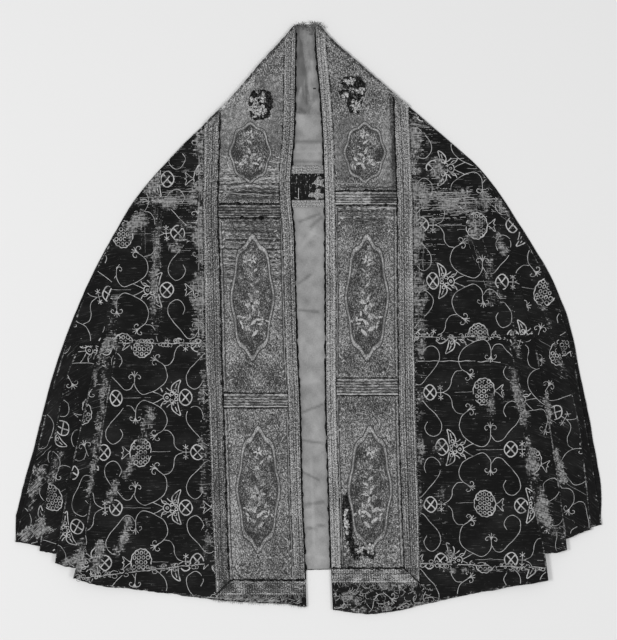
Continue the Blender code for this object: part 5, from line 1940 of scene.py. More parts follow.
def build_device(side, name):
    vertices, faces, shade = device_ground(side, name)
    made = face_outward(add_mesh(f"{side}_{name}_frame", vertices, faces, APPLIED))
    set_value(made, "tone", shade)
    lay(made, "applied_work", f"{side}_device_{name}")


# %% Cords, stem, leaves and rosettes of a frame
def sew_device(sewing, name):
    """Cords, stem, leaves and rosettes of one frame."""
    depth, half_width, half_height = DEVICES[name]
    middle = device_middle(sewing.side, depth)
    z = DEVICE_Z + 0.0010
    for size, thick, tone in ((1.0, 1.0, 0.05), (0.962, 0.5, 0.58), (0.918, 0.5, 0.54), (0.885, 0.9, 0.06)):
        ring = np.stack(device_outline(half_width, half_height, size), -1) + (middle, depth)
        sewing.cord(np.vstack([ring, ring[:1]]), z - (0.0004 if size == 1.0 else 0.0), thick, tone, 0.0045)
    low, high = depth + 0.70 * half_height, depth - 0.62 * half_height
    sway, leaf = 0.10 * half_width, 0.24 * half_width
    bends = (middle + sway, (2 * low + high) / 3), (middle - sway, (low + 2 * high) / 3)
    sewing.spray([(middle, low), *bends, (middle, high)], z + 0.0002, leaf, 0.60, 1.0, leaf * 1.05, 0.35)
    for way in (-1, 1):
        for share, size in ((0.40, 1.0), (-0.16, 0.9), (-0.42, 0.6)):
            start, reach = depth + share * half_height, way * half_width * 0.60 * size
            path = [(middle + along * reach, start + down * half_height)
                    for along, down in ((0, 0), (0.6, -0.10), (1, -0.02), (0.7, 0.06))]
            sewing.spray(path, z + 0.0001, leaf * 0.72, 0.66 if share > 0 else 0.42, 0.7, leaf * 0.9, 0.3)
    sewing.rosette(middle, depth + 0.10 * half_height, 0.40 * half_width, z + 0.0005)
    sewing.rosette(middle, high, 0.26 * half_width, z + 0.0004, 6, 0.74)
    for way in (-1, 0, 1):
        sewing.leaf(middle, low, 90 - 50 * way, leaf * 0.9, leaf * 0.36, 0.36, z)


# %% Corner sprays, edge cords and worn lines
LINES = {
    # start offset and depth, end offset and depth, thickness and tone of the broken lines in the top panels
    "left": (
        (0.070, 0.3400, 0.213, 0.3235, 0.9, 0.85), (0.066, 0.4080, 0.150, 0.4030, 1.0, 0.03),
        (0.090, 0.4190, 0.210, 0.4140, 0.8, 0.80), (0.070, 0.4290, 0.205, 0.4260, 1.0, 0.04),
    ),
    "right": (
        (0.082, 0.4000, 0.205, 0.4000, 1.6, 0.02), (0.145, 0.4525, 0.214, 0.4495, 1.0, 0.85),
        (0.070, 0.3900, 0.140, 0.3920, 0.8, 0.70),
    ),
}
# Charts of the two sprays in a corner, from the corner outward and along the panel
CURLED = ((0, 0), (0.020, 0.004), (0.034, 0.016), (0.026, 0.028), (0.014, 0.022))
LONG = ((0, 0.010), (0.004, 0.036), (0.001, 0.064), (0.006, 0.088))


def sew_corners(sewing, start, end):
    """A curled spray and a long one in each corner of a panel."""
    z = PANEL_TOP + 0.0002
    _, guard_in, guard_out, _ = edges_of(sewing.side)
    for depth, down in ((start + 0.012, 1), (end - 0.012, -1)):
        for x, out in ((float(guard_in(depth)) + 0.010, 1), (float(guard_out(depth)) - 0.014, -1)):
            curled, long = ([(x + out * a, depth + down * b) for a, b in chart] for chart in (CURLED, LONG))
            sewing.spray(curled, z, 0.0075, 0.36, 0.8, 0.009, 0.3)
            sewing.spray(long, z, 0.0062, 0.62, 0.6, 0.010, 0.3)


def sew_lines(sewing):
    """Cords that frame the panels just inside their edges, and the broken lines of the top panels."""
    side = sewing.side
    z = PANEL_TOP + 0.0001
    _, guard_in, guard_out, _ = edges_of(side)
    (_, first_end), (second_start, second_end) = BANDS[side]
    for start, end in ((first_end, second_start), (second_end, BOTTOM_GUARD[side][0])):
        depths = np.linspace(start + 0.010, end - 0.010, 40)
        for edge, shift in ((guard_in, 0.0055), (guard_out, -0.0085)):
            for share, thick, tone in ((1, 1.2, 0.02), (0.55, 0.6, 0.66)):
                sewing.cord(np.stack([edge(depths) + shift * share, depths], -1), z, thick, tone, 0.004)
    for x0, d0, x1, d1, thick, tone in LINES[side]:
        x = np.linspace(x0, x1, 24)
        d = d0 + (d1 - d0) * (x - x0) / (x1 - x0) + 0.0012 * ripple(x, 0, 0.02, 0.08, int(d0 * 1000))
        sewing.cord(np.stack([x, d], -1), z + 0.0002, thick, tone)


# %% All the applied work of a side
def sew_side(side):
    sewing = Sewing(side)
    (_, first_end), (second_start, second_end) = BANDS[side]
    for name in DEVICES:
        build_device(side, name)
        sew_device(sewing, name)
    sew_corners(sewing, first_end, second_start)
    sew_corners(sewing, second_end, BOTTOM_GUARD[side][0])
    sew_lines(sewing)
    middle = device_middle(side, 0.2)
    rise = [(0.004, 0.238), (-0.010, 0.205), (-0.016, 0.170), (-0.034, 0.130), (-0.040, 0.100)]
    sewing.spray([(middle + x, d) for x, d in rise], PANEL_TOP + 0.0002, 0.010, 0.50, 0.9, 0.012, 0.4)
    lay(leaf_piece(f"{side}_leaves", sewing.leaves, 0.0007, APPLIED), "applied_work")
    print(side, "leaves:", len(sewing.leaves), "cords:", len(sewing.cords))
    lay_threads(f"{side}_cords", sewing.cords, (0.00105, 0.00065), CORD, 4, "applied_work")


CORD = make_thread("couched_cord", 0.012, 0.50, 0.6)
for side in SIGN:
    sew_side(side)

# %% [markdown]
# ## Dark seams and painted shadows
# Beside each guard and band the needlework stops a little short. The gap shows as a dark line of uneven
# width, with the raw edges and the old sewing thread in it and a painted shadow of the raised pieces. It is
# made as a flat dark cord that swells and thins along the seam. The same cord runs beside the orphrey's
# outer edge, where it is partly painted shadow, and along each front's edge on the lining, where it is
# painted shadow.


# %% The dark lines along the seams, partly painted shadow
def make_dark():
    material, tree, shader = new_finish("dark_gap_and_shade", 0.95, 0.0, 0.5, 0.05)
    fine, coarse = noise(tree, "object", 600.0), noise(tree, "object", 240.0, 3.0, 0.7)
    streaks = weighted(tree, (fine, 0.5), (coarse, 1.0))
    colour = ramp(tree, streaks, ((0.66, 0.003), (0.84, 0.020), (0.98, 0.150)))
    tree.links.new(colour, shader.inputs["Base Color"])
    return material


DARK_GAP_AND_SHADE = make_dark()


def seam_line(side, x, d, z, swell, seed):
    x = x + 0.0008 * ripple(x, d, 0.010, 0.05, seed)
    d = d + 0.0009 * ripple(x, d, 0.008, 0.04, seed + 1)
    thick = swell * np.clip(1 + 0.50 * ripple(x, d, 0.010, 0.05, seed + 2), 0.25, 2.0)
    keep = (x < outline(side, d) - 0.008) & (thick > 0.3)
    return list(cut_runs(keep, place(side, x, d, z), thick, np.full(x.shape, 0.3)))


def seam_gaps_and_shadows(side):
    front, guard_in, guard_out, outer = edges_of(side)
    start = BOTTOM_GUARD[side][0]
    z = GUARD_TOP + 0.0003
    down = np.linspace(0.02, start, 280)
    # Place, height and swell of each line. By the guards it is a gap with painted shadow in it, beside the
    # orphrey it is partly painted shadow, and along the front's edge on the lining it is a painted shadow of
    # the front.
    seams = (
        (guard_out(down) + 0.0002, z, 1.1 if side == "left" else 0.7), (guard_in(down) + 0.0008, z, 0.40),
        (outer(down) + 0.0012, FRONT_Z + 0.0004, 0.7),
        (front_edge(side, down) - 0.0010, LINING_TOP + 0.0006, 1.05),
    )
    runs = []
    for number, (x, height, swell) in enumerate(seams):
        runs += seam_line(side, x, down, height, swell, 400 + 10 * number)
    less = 0.4 if side == "right" else 0.0
    for number, (top, low) in enumerate(BANDS[side]):
        x = np.linspace(float(guard_in(top)) + 0.002, float(guard_out(top)) - 0.002, 90)
        for seed, depth in enumerate((top, low)):
            swell = (1.5, 0.7)[number] - less
            runs += seam_line(side, x, depth, z, swell, 440 + 10 * number + 3 * seed)
    x = np.linspace(float(front(start)) + 0.002, float(outer(start)) - 0.036, 120)
    runs += seam_line(side, x, start, z + 0.0006, 1.3, 470)
    corner = np.linspace(0, 1, 20)
    runs += seam_line(side, outer(start) - 0.037 * (1 - corner), start + 0.037 * corner, z + 0.0006, 0.8, 480)
    return runs


# %% The needlework turned over the fold by the neck
def neck_edge(side):
    """The needlework turned over the cope's fold: a soft roll from the neck down to the outer guard."""
    depths = np.arange(0.004, 0.45, 0.0026)
    reach = outline(side, depths)
    x = reach - 0.0036 + 0.0004 * ripple(depths, 0, 0.006, 0.03, 500)
    thick = 1 + 0.16 * ripple(depths, 0, 0.006, 0.03, 501)
    tone = 0.40 + 0.16 * ripple(depths, 0, 0.006, 0.05, 502)
    covered = orphrey_edge(side, depths) > reach - 0.004
    return list(cut_runs(covered, place(side, x, depths, PANEL_Z + 0.0006), thick, tone))


for side in SIGN:
    lay_threads(f"{side}_neck_edge", neck_edge(side), (0.0038, 0.0013), NEEDLEWORK, 8, "needlework")
    lay_threads(f"{side}_seam_gaps_and_shadows", seam_gaps_and_shadows(side), (0.0018, 0.0004), DARK_GAP_AND_SHADE, 4, "guard_braid")


# %% [markdown]
# ## The back
# The back lies face down on the table. Its orphrey runs on behind the neck, and below that a centre width
# and two side widths of velvet make up the half circle. The pattern is on its underside, so the threads are
# laid there too, a hair above the table.


# %% Back widths and the orphrey behind the neck
BACK_SEAM, ORPHREY_BAND = 0.240, 0.212


def back_edge(side, depth):
    """The signed edge of the back, a little uneven."""
    seed = 79 if side == "left" else 80
    return SIGN[side] * back_reach(side, depth, 0.001) + wavy(depth, seed, 0.0005)


def back_wall(name, depths, low, high, cut, material=VELVET, slot="velvet", columns=44):
    """A flat wall of the back between its signed edges low and high. The velvet widths end at the hem."""
    x = low[:, None] + (high - low)[:, None] * np.linspace(0, 1, columns)
    d = np.repeat(depths[:, None], columns, 1)
    node = "back_neck_orphrey"
    if material == VELVET:
        node = f"{name}_width"
        end = back_hem(x) + wavy(x, 75, 0.0008)
        d = depths[0] + (d - depths[0]) / (depths[-1] - depths[0]) * (end - depths[0])
    top = CLOTH + 0.00008 * ripple(x, d, 0.01, 0.04, 76)
    wear_and_sheen = 0.25 * smoothstep(1 - (back_hem(x) - d) / 0.012)
    wear_and_sheen = wear_and_sheen + 0.20 * smoothstep(ripple(x, d, 0.10, 0.35, 77) - 0.4)
    made = wall(name, "right", x, d, top, 0.00035, material, (x, d), wear_and_sheen, 1)
    if material != VELVET:
        set_value(made, "tone", 0.44 + 0.04 * ripple(x, d, 0.01, 0.05, 78))
    return lay(made, slot, node, cut)


def build_back():
    neck = np.concatenate([np.linspace(0.0, 0.03, 12)[:-1], np.linspace(0.03, ORPHREY_BAND - HAIR, 24)])
    ends = back_edge("left", neck), back_edge("right", neck)
    back_wall("back_neck", neck, *ends, (0.52, 0.22), NEEDLEWORK, "needlework", 60)
    rows = np.linspace(ORPHREY_BAND + HAIR, BACK_END, 64)
    low = np.maximum(back_edge("left", rows), HAIR - BACK_SEAM)
    back_wall("back_centre", rows, low, np.minimum(back_edge("right", rows), BACK_SEAM - HAIR), (0.50, 1.16))
    seam = np.full(64, BACK_SEAM + HAIR)
    rows = np.linspace(0.214, BACK_END, 64)
    back_wall("back_right", rows, seam, back_edge("right", rows), (0.52, 1.16))
    rows = np.linspace(0.251, BACK_END, 64)
    back_wall("back_left", rows, back_edge("left", rows), -seam, (0.52, 1.12))


build_back()


# %% The pattern on the underside
def back_pattern(side):
    """The same unit with fewer points, because this side of the cope lies on the table."""
    u0, _, drop = PHASE["right"]["lower"]
    runs = []
    for row in range(-2, 22):
        for column in range(-1, 2):
            start = u0 + (row % 2) * REPEAT / 2 + column * REPEAT, 70 + row * drop
            for points, weight, light in UNIT:
                points = points[::4 if len(points) > 12 else 2 if len(points) > 6 else 1]
                x, d = (points + start).T * STEP
                inside = (x > 0.0015) & (d > ORPHREY_BAND + 0.003) & (x < back_reach(side, d, 0.004))
                inside &= (d < back_hem(SIGN[side] * x) - 0.004) & (np.abs(x - BACK_SEAM) > 0.002)
                for (run,) in cut_runs(inside, place(side, x, d, 0.00034)):
                    runs.append((run, weight, light))
    return runs


for side in SIGN:
    lay_threads(f"{side}_back_pattern", back_pattern(side), (0.00110, 0.00030), PATTERN_THREAD, 3)

# %% [markdown]
# ## Bare threads
# Where the pile has gone, single ground threads catch the light. They run along the weft, with a few along
# the warp. Each is a thin thread of its own: many lie in the worn places, and a few are scattered over the
# sound velvet.


# %% Ground threads that show through the pile
# The spacing of the ground threads, and their thickness from end to end
WEFT = 0.0021
TAPER = (0.35, 0.9, 1.0, 0.9, 0.35)


def scattered_threads(side, count, seed):
    """Short threads over every region of velvet. Their number follows the wear value, which is partly painted
    sheen along the folds.
    """
    rng = np.random.default_rng(seed)
    runs = []
    for part, _, box, test, height in velvet_regions(side):
        number = int(count * (box[1] - box[0]) * (box[3] - box[2]) / 0.30)
        x, d = rng.uniform(box[0], box[1], number), rng.uniform(box[2], box[3], number)
        worn = wear_and_sheen_at(side, x, d)
        kept = (rng.uniform(0, 1, number) < 0.012 + 0.95 * np.clip(worn, 0, 1) ** 1.5) & test(x, d)
        x, d, worn = x[kept], d[kept], worn[kept]
        number = len(x)
        across, along = to_cloth(side, part, x, d)
        along = np.round(along / WEFT) * WEFT
        upright = rng.uniform(0, 1, number) < 0.20
        length = rng.uniform(0.003, 0.022, number) * np.where(upright, 0.45, 1.0) * (0.7 + worn)
        wobble = rng.normal(0, 0.00022, (number, 5))
        reach = length[:, None] * np.linspace(-0.5, 0.5, 5)
        u = (across[:, None] + np.where(upright[:, None], wobble, reach)).ravel()
        v = (along[:, None] + np.where(upright[:, None], reach, wobble)).ravel()
        x, d = from_cloth(side, part, u, v)
        thick = np.tile(TAPER, number) * np.repeat(rng.uniform(0.5, 1.2, number), 5)
        tone = np.repeat(np.clip(rng.uniform(0.05, 0.45, number) + 0.50 * worn, 0, 1), 5)
        keep = test(x, d) & (ripple(u, v, 0.003, 0.012, seed + 1) <= 0.75)
        points = place(side, x, d, height(x, d) + 0.00012)
        runs += cut_runs(keep, points, thick, tone, strokes=np.repeat(np.arange(number), 5))
    return runs


for side, seed in (("left", 201), ("right", 202)):
    runs = scattered_threads(side, 9000, seed)
    lay_threads(f"{side}_bare_threads", runs, (0.00060, 0.00022), PATTERN_THREAD, 3)

# %% Long bare threads in the two worn bands and beside the orphreys
LONG_THREADS = {
    # start offset and depth, end offset and depth, spread across, number, thickness
    "left": (
        (0.285, 0.428, 0.425, 0.434, 0.007, 26, 1.3), (0.256, 0.300, 0.260, 0.760, 0.007, 14, 0.7),
        (0.366, 0.430, 0.364, 0.600, 0.005, 7, 0.5), (0.402, 0.450, 0.400, 0.600, 0.005, 4, 0.45),
        (0.262, 0.470, 0.330, 0.472, 0.050, 26, 0.8), (0.300, 0.370, 0.360, 0.372, 0.040, 18, 0.7),
        (0.290, 0.300, 0.320, 0.303, 0.080, 30, 0.7),
    ),
    "right": (
        (0.262, 0.436, 0.440, 0.430, 0.030, 60, 1.2), (0.420, 0.410, 0.520, 0.490, 0.014, 20, 1.1),
        (0.262, 0.300, 0.268, 0.700, 0.016, 16, 0.8), (0.262, 0.300, 0.320, 0.300, 0.110, 70, 0.9),
        (0.400, 0.500, 0.446, 0.640, 0.014, 8, 0.5), (0.262, 0.560, 0.330, 0.560, 0.060, 26, 0.7),
    ),
}


def long_threads(side):
    rng = np.random.default_rng(77 if side == "left" else 78)
    runs = []
    for x0, d0, x1, d1, spread, number, thick in LONG_THREADS[side]:
        length = math.hypot(x1 - x0, d1 - d0)
        ax, ad = (x1 - x0) / length, (d1 - d0) / length
        for _ in range(number):
            shift, start, part = rng.normal(0, spread), rng.uniform(-0.1, 0.6), rng.uniform(0.2, 0.7)
            steps = np.linspace(start, start + part, 22) * length
            x, d = x0 + ax * steps - ad * shift, d0 + ad * steps + ax * shift
            x, d = x + 0.0003 * ripple(x, d, 0.006, 0.02, 5), d + 0.0003 * ripple(x, d, 0.006, 0.02, 6)
            keep = (x > orphrey_edge(side, d) + 0.001) & (x < outline(side, d) - 0.005)
            unbroken = ripple(x, d, 0.004, 0.016, 7 + int(1000 * abs(shift))) < 0.5
            keep &= (d < FIRST_SEAM[side] - 0.002) & unbroken
            tone, weight = rng.uniform(0.25, 0.95), thick * rng.uniform(0.4, 1.1)
            points = place(side, x, d, upper_top(side, x, d) + 0.0003)
            runs += cut_runs(keep, points, np.full(22, weight), np.full(22, tone))
    return runs


for side in SIGN:
    lay_threads(f"{side}_long_threads", long_threads(side), (0.00075, 0.0002), PATTERN_THREAD, 3)

# %% [markdown]
# ## Selvedges and joins
# The widths are joined along their selvedges, which show as a pale, broken line with small loops. Stitches
# hold the guards down: a node tree walks along each seam at an even step and sets a short stitch there,
# leaning to and fro.


# %% Selvedge lines at the seams
def selvedge(side, top_of, depth_at, start, end, seed):
    x = np.linspace(start, end, 240)
    d = depth_at(x) + 0.0007 * ripple(x, 0, 0.01, 0.05, seed)
    keep = ripple(x, seed, 0.02, 0.09, seed + 1) < 0.75
    thick = np.clip(1.0 + 0.40 * ripple(x, 0, 0.008, 0.03, seed + 2), 0.3, 1.6)
    tone = np.clip(0.72 + 0.2 * ripple(x, 0, 0.01, 0.05, seed + 3), 0, 1)
    return list(cut_runs(keep, place(side, x, d, top_of(side, x, d) + 0.0004), thick, tone))


def seam_top(side, x, d):
    return upper_top(side, x, np.minimum(d, FIRST_SEAM[side]))


def loops_along(side, depth_at, start, end, seed):
    rng = np.random.default_rng(seed)
    runs = []
    for x in rng.uniform(start, end, 42):
        size = rng.uniform(0.0025, 0.0065)
        turn = 2 * np.pi * np.linspace(0, rng.uniform(0.5, 1.0), 8) + rng.uniform(0, 6)
        px = x + size * np.cos(turn)
        pd = depth_at(x) + rng.choice([-1, 1]) * size * 0.9 + size * 0.8 * np.sin(turn)
        z = lower_top(side, px, np.maximum(pd, FIRST_SEAM[side] + 0.001)) + 0.0004
        runs.append((place(side, px, pd, z), rng.uniform(0.6, 1.0), rng.uniform(0.5, 0.85)))
    return runs


def patch_edge(x):
    """An old seam that rises a little towards the side."""
    return 0.8257 + 0.03 * np.clip(x - 0.40, 0, 1)


def build_selvedges(side):
    seed = 300 if side == "left" else 340
    start = float(orphrey_edge(side, 0.78)) + 0.002
    seams = (
        (seam_top, lambda x: FIRST_SEAM[side], float(fold(side, "fold_a", 0.78)) - 0.003, seed),
        (lower_top, partial(second_seam, side), float(fold(side, "fold_a", 1.33)) - 0.004, seed + 10),
    )
    runs = []
    for top_of, depth_at, end, number in seams:
        runs += selvedge(side, top_of, depth_at, start, end, number)
        runs += loops_along(side, depth_at, start, end, number + 5)
    if side == "right":
        runs += selvedge(side, lower_top, patch_edge, 0.262, 0.470, seed + 20)
    lay_threads(f"{side}_selvedges", runs, (0.0009, 0.0005), PATTERN_THREAD, 4)


# %% Stitches that hold the guards down
def stitch_tree():
    sizes = {"Step": 0.006, "Half length": 0.0016, "Half width": 0.0004, "Lean": 0.7, "Seed": 1}
    tree, start = start_tree("stitches_along_seam", sizes)
    path = add(tree, "GeometryNodeMeshToCurve", {"Mesh": start["Geometry"]}).outputs["Curve"]
    steps = {"Curve": path, "Length": start["Step"]}
    walked = add(tree, "GeometryNodeCurveToPoints", steps, mode="LENGTH").outputs
    tangent = {"Vector": walked["Tangent"]}
    along = add(tree, "FunctionNodeAlignRotationToVector", tangent, axis="X").outputs["Rotation"]
    spread = {"Seed": start["Seed"], 2: 0.35, 3: 1.25}
    lean = add(tree, "FunctionNodeRandomValue", spread, data_type="FLOAT").outputs[1]
    turn = combine(tree, 0.0, 0.0, math_node(tree, "MULTIPLY", lean, start["Lean"]))
    euler = add(tree, "FunctionNodeEulerToRotation", {0: turn}).outputs[0]
    leaning = add(tree, "FunctionNodeRotateRotation", {0: along, 1: euler}, rotation_space="LOCAL").outputs[0]
    size = combine(tree, start["Half length"], start["Half width"], start["Half width"])
    return end_tree(tree, start, set_on_points(tree, walked["Points"], lying_ball(tree, 5, 3), leaning, size))


STITCH_TREE = stitch_tree()


def stitches(name, paths, step, seed):
    """Stitches along a few paths, which are points in the room."""
    made = path_object(name, paths, {"tone": [0.8] * len(paths)})
    return run_tree(made, STITCH_TREE, {"Step": step, "Seed": seed, "Material": PATTERN_THREAD})


def seam_paths(side):
    """Both edges of the outer guard and of the inner guard, where they lie clear of the cope's fold."""
    front, guard_in, guard_out, outer = edges_of(side)
    depths = np.linspace(0.03, BOTTOM_GUARD[side][0], 260)
    paths = []
    for edge, shift in ((outer, -0.0008), (guard_out, 0.0022), (guard_in, -0.0006), (front, 0.0008)):
        x = edge(depths) + shift
        keep = x < outline(side, depths) - 0.007
        paths += [path for (path,) in cut_runs(keep, place(side, x, depths, GUARD_TOP - 0.0002))]
    return paths


for side in SIGN:
    build_selvedges(side)
    made = lay(stitches(f"{side}_guard_stitches", seam_paths(side), 0.0058, 5 + SIGN[side]), "guard_braid")
    print(made.name, len(made.data.polygons), "faces")

# %% [markdown]
# ## Losses
# In the top panels the needlework has worn through to its linen, which shows as pale flakes in a dark hole.
# A long tear in one lower panel has gone the same way. Each loss is a thin dark patch with a few ragged
# flakes on it.


# %% Patches where the needlework is lost
def make_linen():
    material, tree, shader = new_finish("bare_linen", 0.85, 0.1, 0.5, 0.2)
    mix = weighted(tree, (noise(tree, "object", 520.0), 0.7), (noise(tree, "object", 210.0, 3.0, 0.7), 1.0))
    tree.links.new(ramp(tree, mix, ((0.72, 0.02), (0.84, 0.25), (0.98, 0.58))), shader.inputs["Base Color"])
    bump(tree, shader, mix, 0.0015, 0.8)
    return material


BARE_LINEN = make_linen()


def flake(side, x, d, half_x, half_d, z, thickness, seed, ragged_by=0.45, points=13):
    """A ragged thin plate: its vertices and faces."""
    turn = 2 * np.pi * np.arange(points) / points
    size = 1 + ragged_by * np.random.default_rng(seed).uniform(-1, 1, points)
    heights = z, z + 0.6 * thickness, z + thickness, z + thickness
    return plate(side, x, d, half_x * size * np.cos(turn), half_d * size * np.sin(turn), heights, 0.75)


def plates(name, side, rows, material):
    vertices, faces = joined([flake(side, *row) for row in rows])
    made = face_outward(add_mesh(name, vertices, faces, material))
    set_value(made, "tone", np.full(len(vertices), 0.1))
    return lay(made, "needlework")

# %% Where the needlework is lost
HOLES = {
    # middle offset and depth, half sizes
    "left": (
        (0.1170, 0.1950, 0.0300, 0.0380), (0.1080, 0.1900, 0.0200, 0.0300), (0.1230, 0.2180, 0.0210, 0.0190),
    ),
    "right": (
        (0.1070, 0.1430, 0.0280, 0.0170), (0.1250, 0.1600, 0.0150, 0.0220), (0.1130, 0.1950, 0.0190, 0.0280),
        (0.0900, 0.1700, 0.0150, 0.0100), (0.0940, 1.1950, 0.0120, 0.0460), (0.0980, 1.2330, 0.0100, 0.0400),
        (0.1060, 1.2780, 0.0065, 0.0260), (0.1170, 1.2940, 0.0110, 0.0190), (0.1380, 1.2900, 0.0150, 0.0150),
        (0.1540, 1.2990, 0.0090, 0.0110),
    ),
}
FLAKES = {
    # middle offset and depth and half sizes of a group, and its number of flakes
    "left": (
        (0.1330, 0.1990, 0.0150, 0.0230, 11), (0.1150, 0.2140, 0.0150, 0.0160, 9),
        (0.1110, 0.1810, 0.0080, 0.0150, 4),
    ),
    "right": (
        (0.1010, 0.1410, 0.0150, 0.0090, 6), (0.1260, 0.1640, 0.0120, 0.0110, 6),
        (0.1160, 0.2020, 0.0130, 0.0190, 9), (0.0910, 0.1730, 0.0130, 0.0050, 4),
        (0.0905, 1.2040, 0.0026, 0.0280, 7), (0.0945, 1.2390, 0.0022, 0.0160, 4),
        (0.1250, 1.2900, 0.0120, 0.0130, 6), (0.1500, 1.2880, 0.0120, 0.0160, 6),
    ),
}


# %% The losses of a side
def build_losses(side):
    z = PANEL_TOP + 0.0001
    rng = np.random.default_rng(31 if side == "left" else 32)
    dark = []
    for number, hole in enumerate(HOLES[side]):
        dark.append((*hole, z + 0.00003 * number, 0.0005, number, 0.14, 26))
    light = []
    for x, d, half_x, half_d, count in FLAKES[side]:
        for number in range(count):
            turn = 2.4 * number + rng.uniform(-0.3, 0.3)
            reach = 0.85 * math.sqrt((number + 0.3) / count)
            middle = x + reach * half_x * math.cos(turn), d + reach * half_d * math.sin(turn)
            size = rng.uniform(0.0025, 0.0055), rng.uniform(0.0030, 0.0070)
            light.append((*middle, *size, z + 0.0006 + 0.00002 * len(light), 0.0004, len(light)))
    plates(f"{side}_loss_holes", side, dark, DARK_GAP_AND_SHADE)
    plates(f"{side}_loss_linen", side, light, BARE_LINEN)


# %% Loose ends along the neck, the guards and the hem
NEAR_HEM = 1.39


def walked(x, d, headings, step):
    """Points of a path that starts beside a place and takes a step along each heading."""
    return x + np.cumsum(np.cos(headings)) * step, d + np.cumsum(np.sin(headings)) * step


def frays(side):
    rng = np.random.default_rng(61 if side == "left" else 62)
    runs = []

    def tuft(x, d, z, heading, length, spread, tone, number):
        for _ in range(number):
            turn, bend = math.radians(heading + rng.uniform(-spread, spread)), rng.uniform(-0.8, 0.8)
            reach = length * rng.uniform(0.5, 1.0)
            start = x + rng.uniform(-0.0015, 0.0015)
            px, pd = walked(start, d, turn + bend * np.linspace(0, reach / length, 5), reach / 4)
            runs.append((place(side, px, pd, z), np.linspace(1, 0.4, 5), tone + rng.uniform(-0.25, 0.2)))

    def hem_tufts(start, end, spacing, inset, z, lengths, spread, tone, number):
        for x in np.arange(start, end, spacing):
            tuft(x, float(hem(side, x)) - inset, z, 90, rng.uniform(*lengths), spread, tone, number)

    for depth in np.arange(0.06, 1.35, 0.011):
        edge = float(orphrey_edge(side, depth))
        if edge < float(outline(side, depth)) - 0.012:
            tuft(edge - 0.001, depth, FRONT_Z + 0.0006, 0, rng.uniform(0.003, 0.011), 25, 0.62, 2)
    for depth in np.arange(0.012, 0.22, 0.013):
        tuft(float(outline(side, depth)) - 0.0005, depth, 0.0045, -20, rng.uniform(0.002, 0.006), 50, 0.35, 1)
    hem_tufts(0.012 if side == "left" else 0.062, 0.56, 0.006, 0.002, 0.0055, (0.0015, 0.0045), 40, 0.40, 1)
    hem_tufts(0.008, 0.236 if side == "left" else 0.0, 0.0021, 0.003, 0.0058, (0.004, 0.0105), 38, 0.42, 2)
    for x in np.arange(float(front_edge(side, NEAR_HEM)) + 0.006, float(orphrey_edge(side, NEAR_HEM)), 0.005):
        tuft(x, BOTTOM_GUARD[side][1] - 0.002, FRONT_Z + 0.0006, 90, rng.uniform(0.004, 0.016), 45, 0.5, 2)
    return runs


# %% Raw ends by the neck and curled ends by the hem
def neck_frays(side):
    """Dark raw ends that stand out from the neck edge."""
    seed, reach, number = {"left": (95, 0.018, 34), "right": (96, 0.030, 95)}[side]
    rng = np.random.default_rng(seed)
    runs = []
    for _ in range(number):
        x = rng.uniform(0.001, 0.036)
        d = max(0.0, 0.72 * (x - 0.024)) + reach * rng.uniform(0, 1) ** 2 - 0.001
        turn, bend = math.radians(rng.uniform(-130, 10)), rng.uniform(-1.5, 1.5)
        px, pd = walked(x, d, turn + bend * np.linspace(0, 1, 6), rng.uniform(0.003, 0.009) / 6)
        points = place(side, px, pd, 0.0062 if x < 0.016 else 0.0100)
        runs.append((points, np.linspace(1.1, 0.5, 6), rng.uniform(0.2, 1.0)))
    return runs


def hem_curls(side):
    """Curled ends of metal thread and torn ground on the strip of velvet below the bottom guard."""
    curly = side == "right"
    rng = np.random.default_rng(92 if curly else 91)
    low, high = float(front_edge(side, NEAR_HEM)) + 0.006, float(orphrey_edge(side, NEAR_HEM)) + 0.03
    start = BOTTOM_GUARD[side][1] + 0.004
    runs = []
    for _ in range(150 if curly else 90):
        x = rng.uniform(low, high)
        d = rng.uniform(start, max(start + 0.001, float(hem(side, x)) - 0.004))
        turn = rng.uniform(0, 2 * np.pi) if curly else rng.normal(0.25, 0.35)
        curl = rng.uniform(-4, 4) if curly else rng.uniform(-1, 1)
        px, pd = walked(x, d, turn + curl * np.linspace(0, 1, 9) ** 2, rng.uniform(0.006, 0.026) / 9)
        keep = (px > low - 0.004) & (pd > start) & (pd < hem(side, px) - 0.002)
        tone = np.full(9, rng.uniform(0.15, 0.75))
        thick = np.linspace(1, 0.6, 9) * rng.uniform(0.5, 1.0)
        runs += cut_runs(keep, place(side, px, pd, lower_top(side, px, pd) + 0.0003), thick, tone)
    return runs


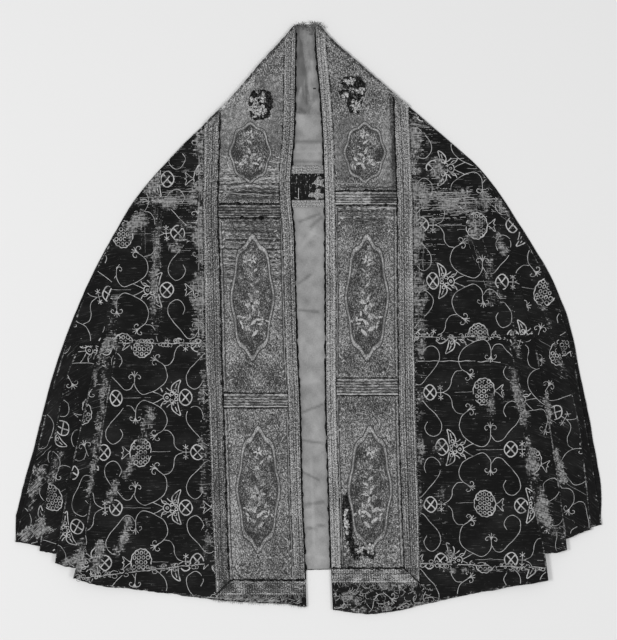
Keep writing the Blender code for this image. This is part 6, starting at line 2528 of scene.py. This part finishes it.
FRAYED = make_thread("frayed_ends", 0.012, 0.16)
for side in SIGN:
    build_losses(side)
    lay_threads(f"{side}_neck_frays", neck_frays(side), (0.0007, 0.0004), FRAYED, 4, "guard_braid")
    lay_threads(f"{side}_hem_curls", hem_curls(side), (0.0010, 0.0003), PATTERN_THREAD, 4)
    lay_threads(f"{side}_frays", frays(side), (0.00055, 0.0003), PATTERN_THREAD, 3, "guard_braid")

# %% [markdown]
# ## The table it lies on
# The cope is shown from straight above on a plain pale table, in soft light that comes mostly from the top
# left. A large lamp gives soft edges to the shadows, and a pale surrounding fills them.


# %% The table, the light and the camera
def make_table():
    material, _, shader = new_finish("table_paper", 0.9, specular=0.1)
    shader.inputs["Base Color"].default_value = grey(0.76)
    corners = [(30 * x, 30 * y, -0.0002) for x, y in ((-1, -1), (1, -1), (1, 1), (-1, 1))]
    table = add_mesh("table", corners, [(0, 1, 2, 3)], material)


def add_lamp(name, place_at, aim, size, power):
    lamp = bpy.data.lights.new(name, "AREA")
    lamp.shape, lamp.size, lamp.energy = "DISK", size, power
    made = bpy.data.objects.new(name, lamp)
    made.location = place_at
    made.rotation_euler = (Vector(aim) - Vector(place_at)).to_track_quat("-Z", "Y").to_euler()
    scene.collection.objects.link(made)


CAMERA_HEIGHT = 4.2062
make_table()
add_lamp("key_lamp", (-3.6, -0.2, 5.2), (0, 0, 0), 2.0, 174)
add_lamp("fill_lamp", (3.6, -1.0, 5.2), (0, 0, 0), 2.6, 106)
world = bpy.data.worlds.new("pale_room")
world.use_nodes = True
world.node_tree.nodes["Background"].inputs["Color"].default_value = grey(1.0)
world.node_tree.nodes["Background"].inputs["Strength"].default_value = 0.52
scene.world = world
scene.view_settings.view_transform = "Standard"

lens = bpy.data.cameras.new("camera")
lens.sensor_fit, lens.sensor_width, lens.lens = "HORIZONTAL", 36, 100
camera = bpy.data.objects.new("camera", lens)
camera.location = (0.0, -STEP, CAMERA_HEIGHT)
scene.collection.objects.link(camera)
scene.camera = camera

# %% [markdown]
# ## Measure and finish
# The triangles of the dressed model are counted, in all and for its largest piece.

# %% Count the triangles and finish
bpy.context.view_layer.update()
pieces = [made for made in scene.objects if made.type == "MESH"]
counts = {made.name: sum(len(face.vertices) - 2 for face in made.data.polygons) for made in pieces}
print("triangles:", sum(counts.values()), "largest:", max(counts, key=counts.get), max(counts.values()))
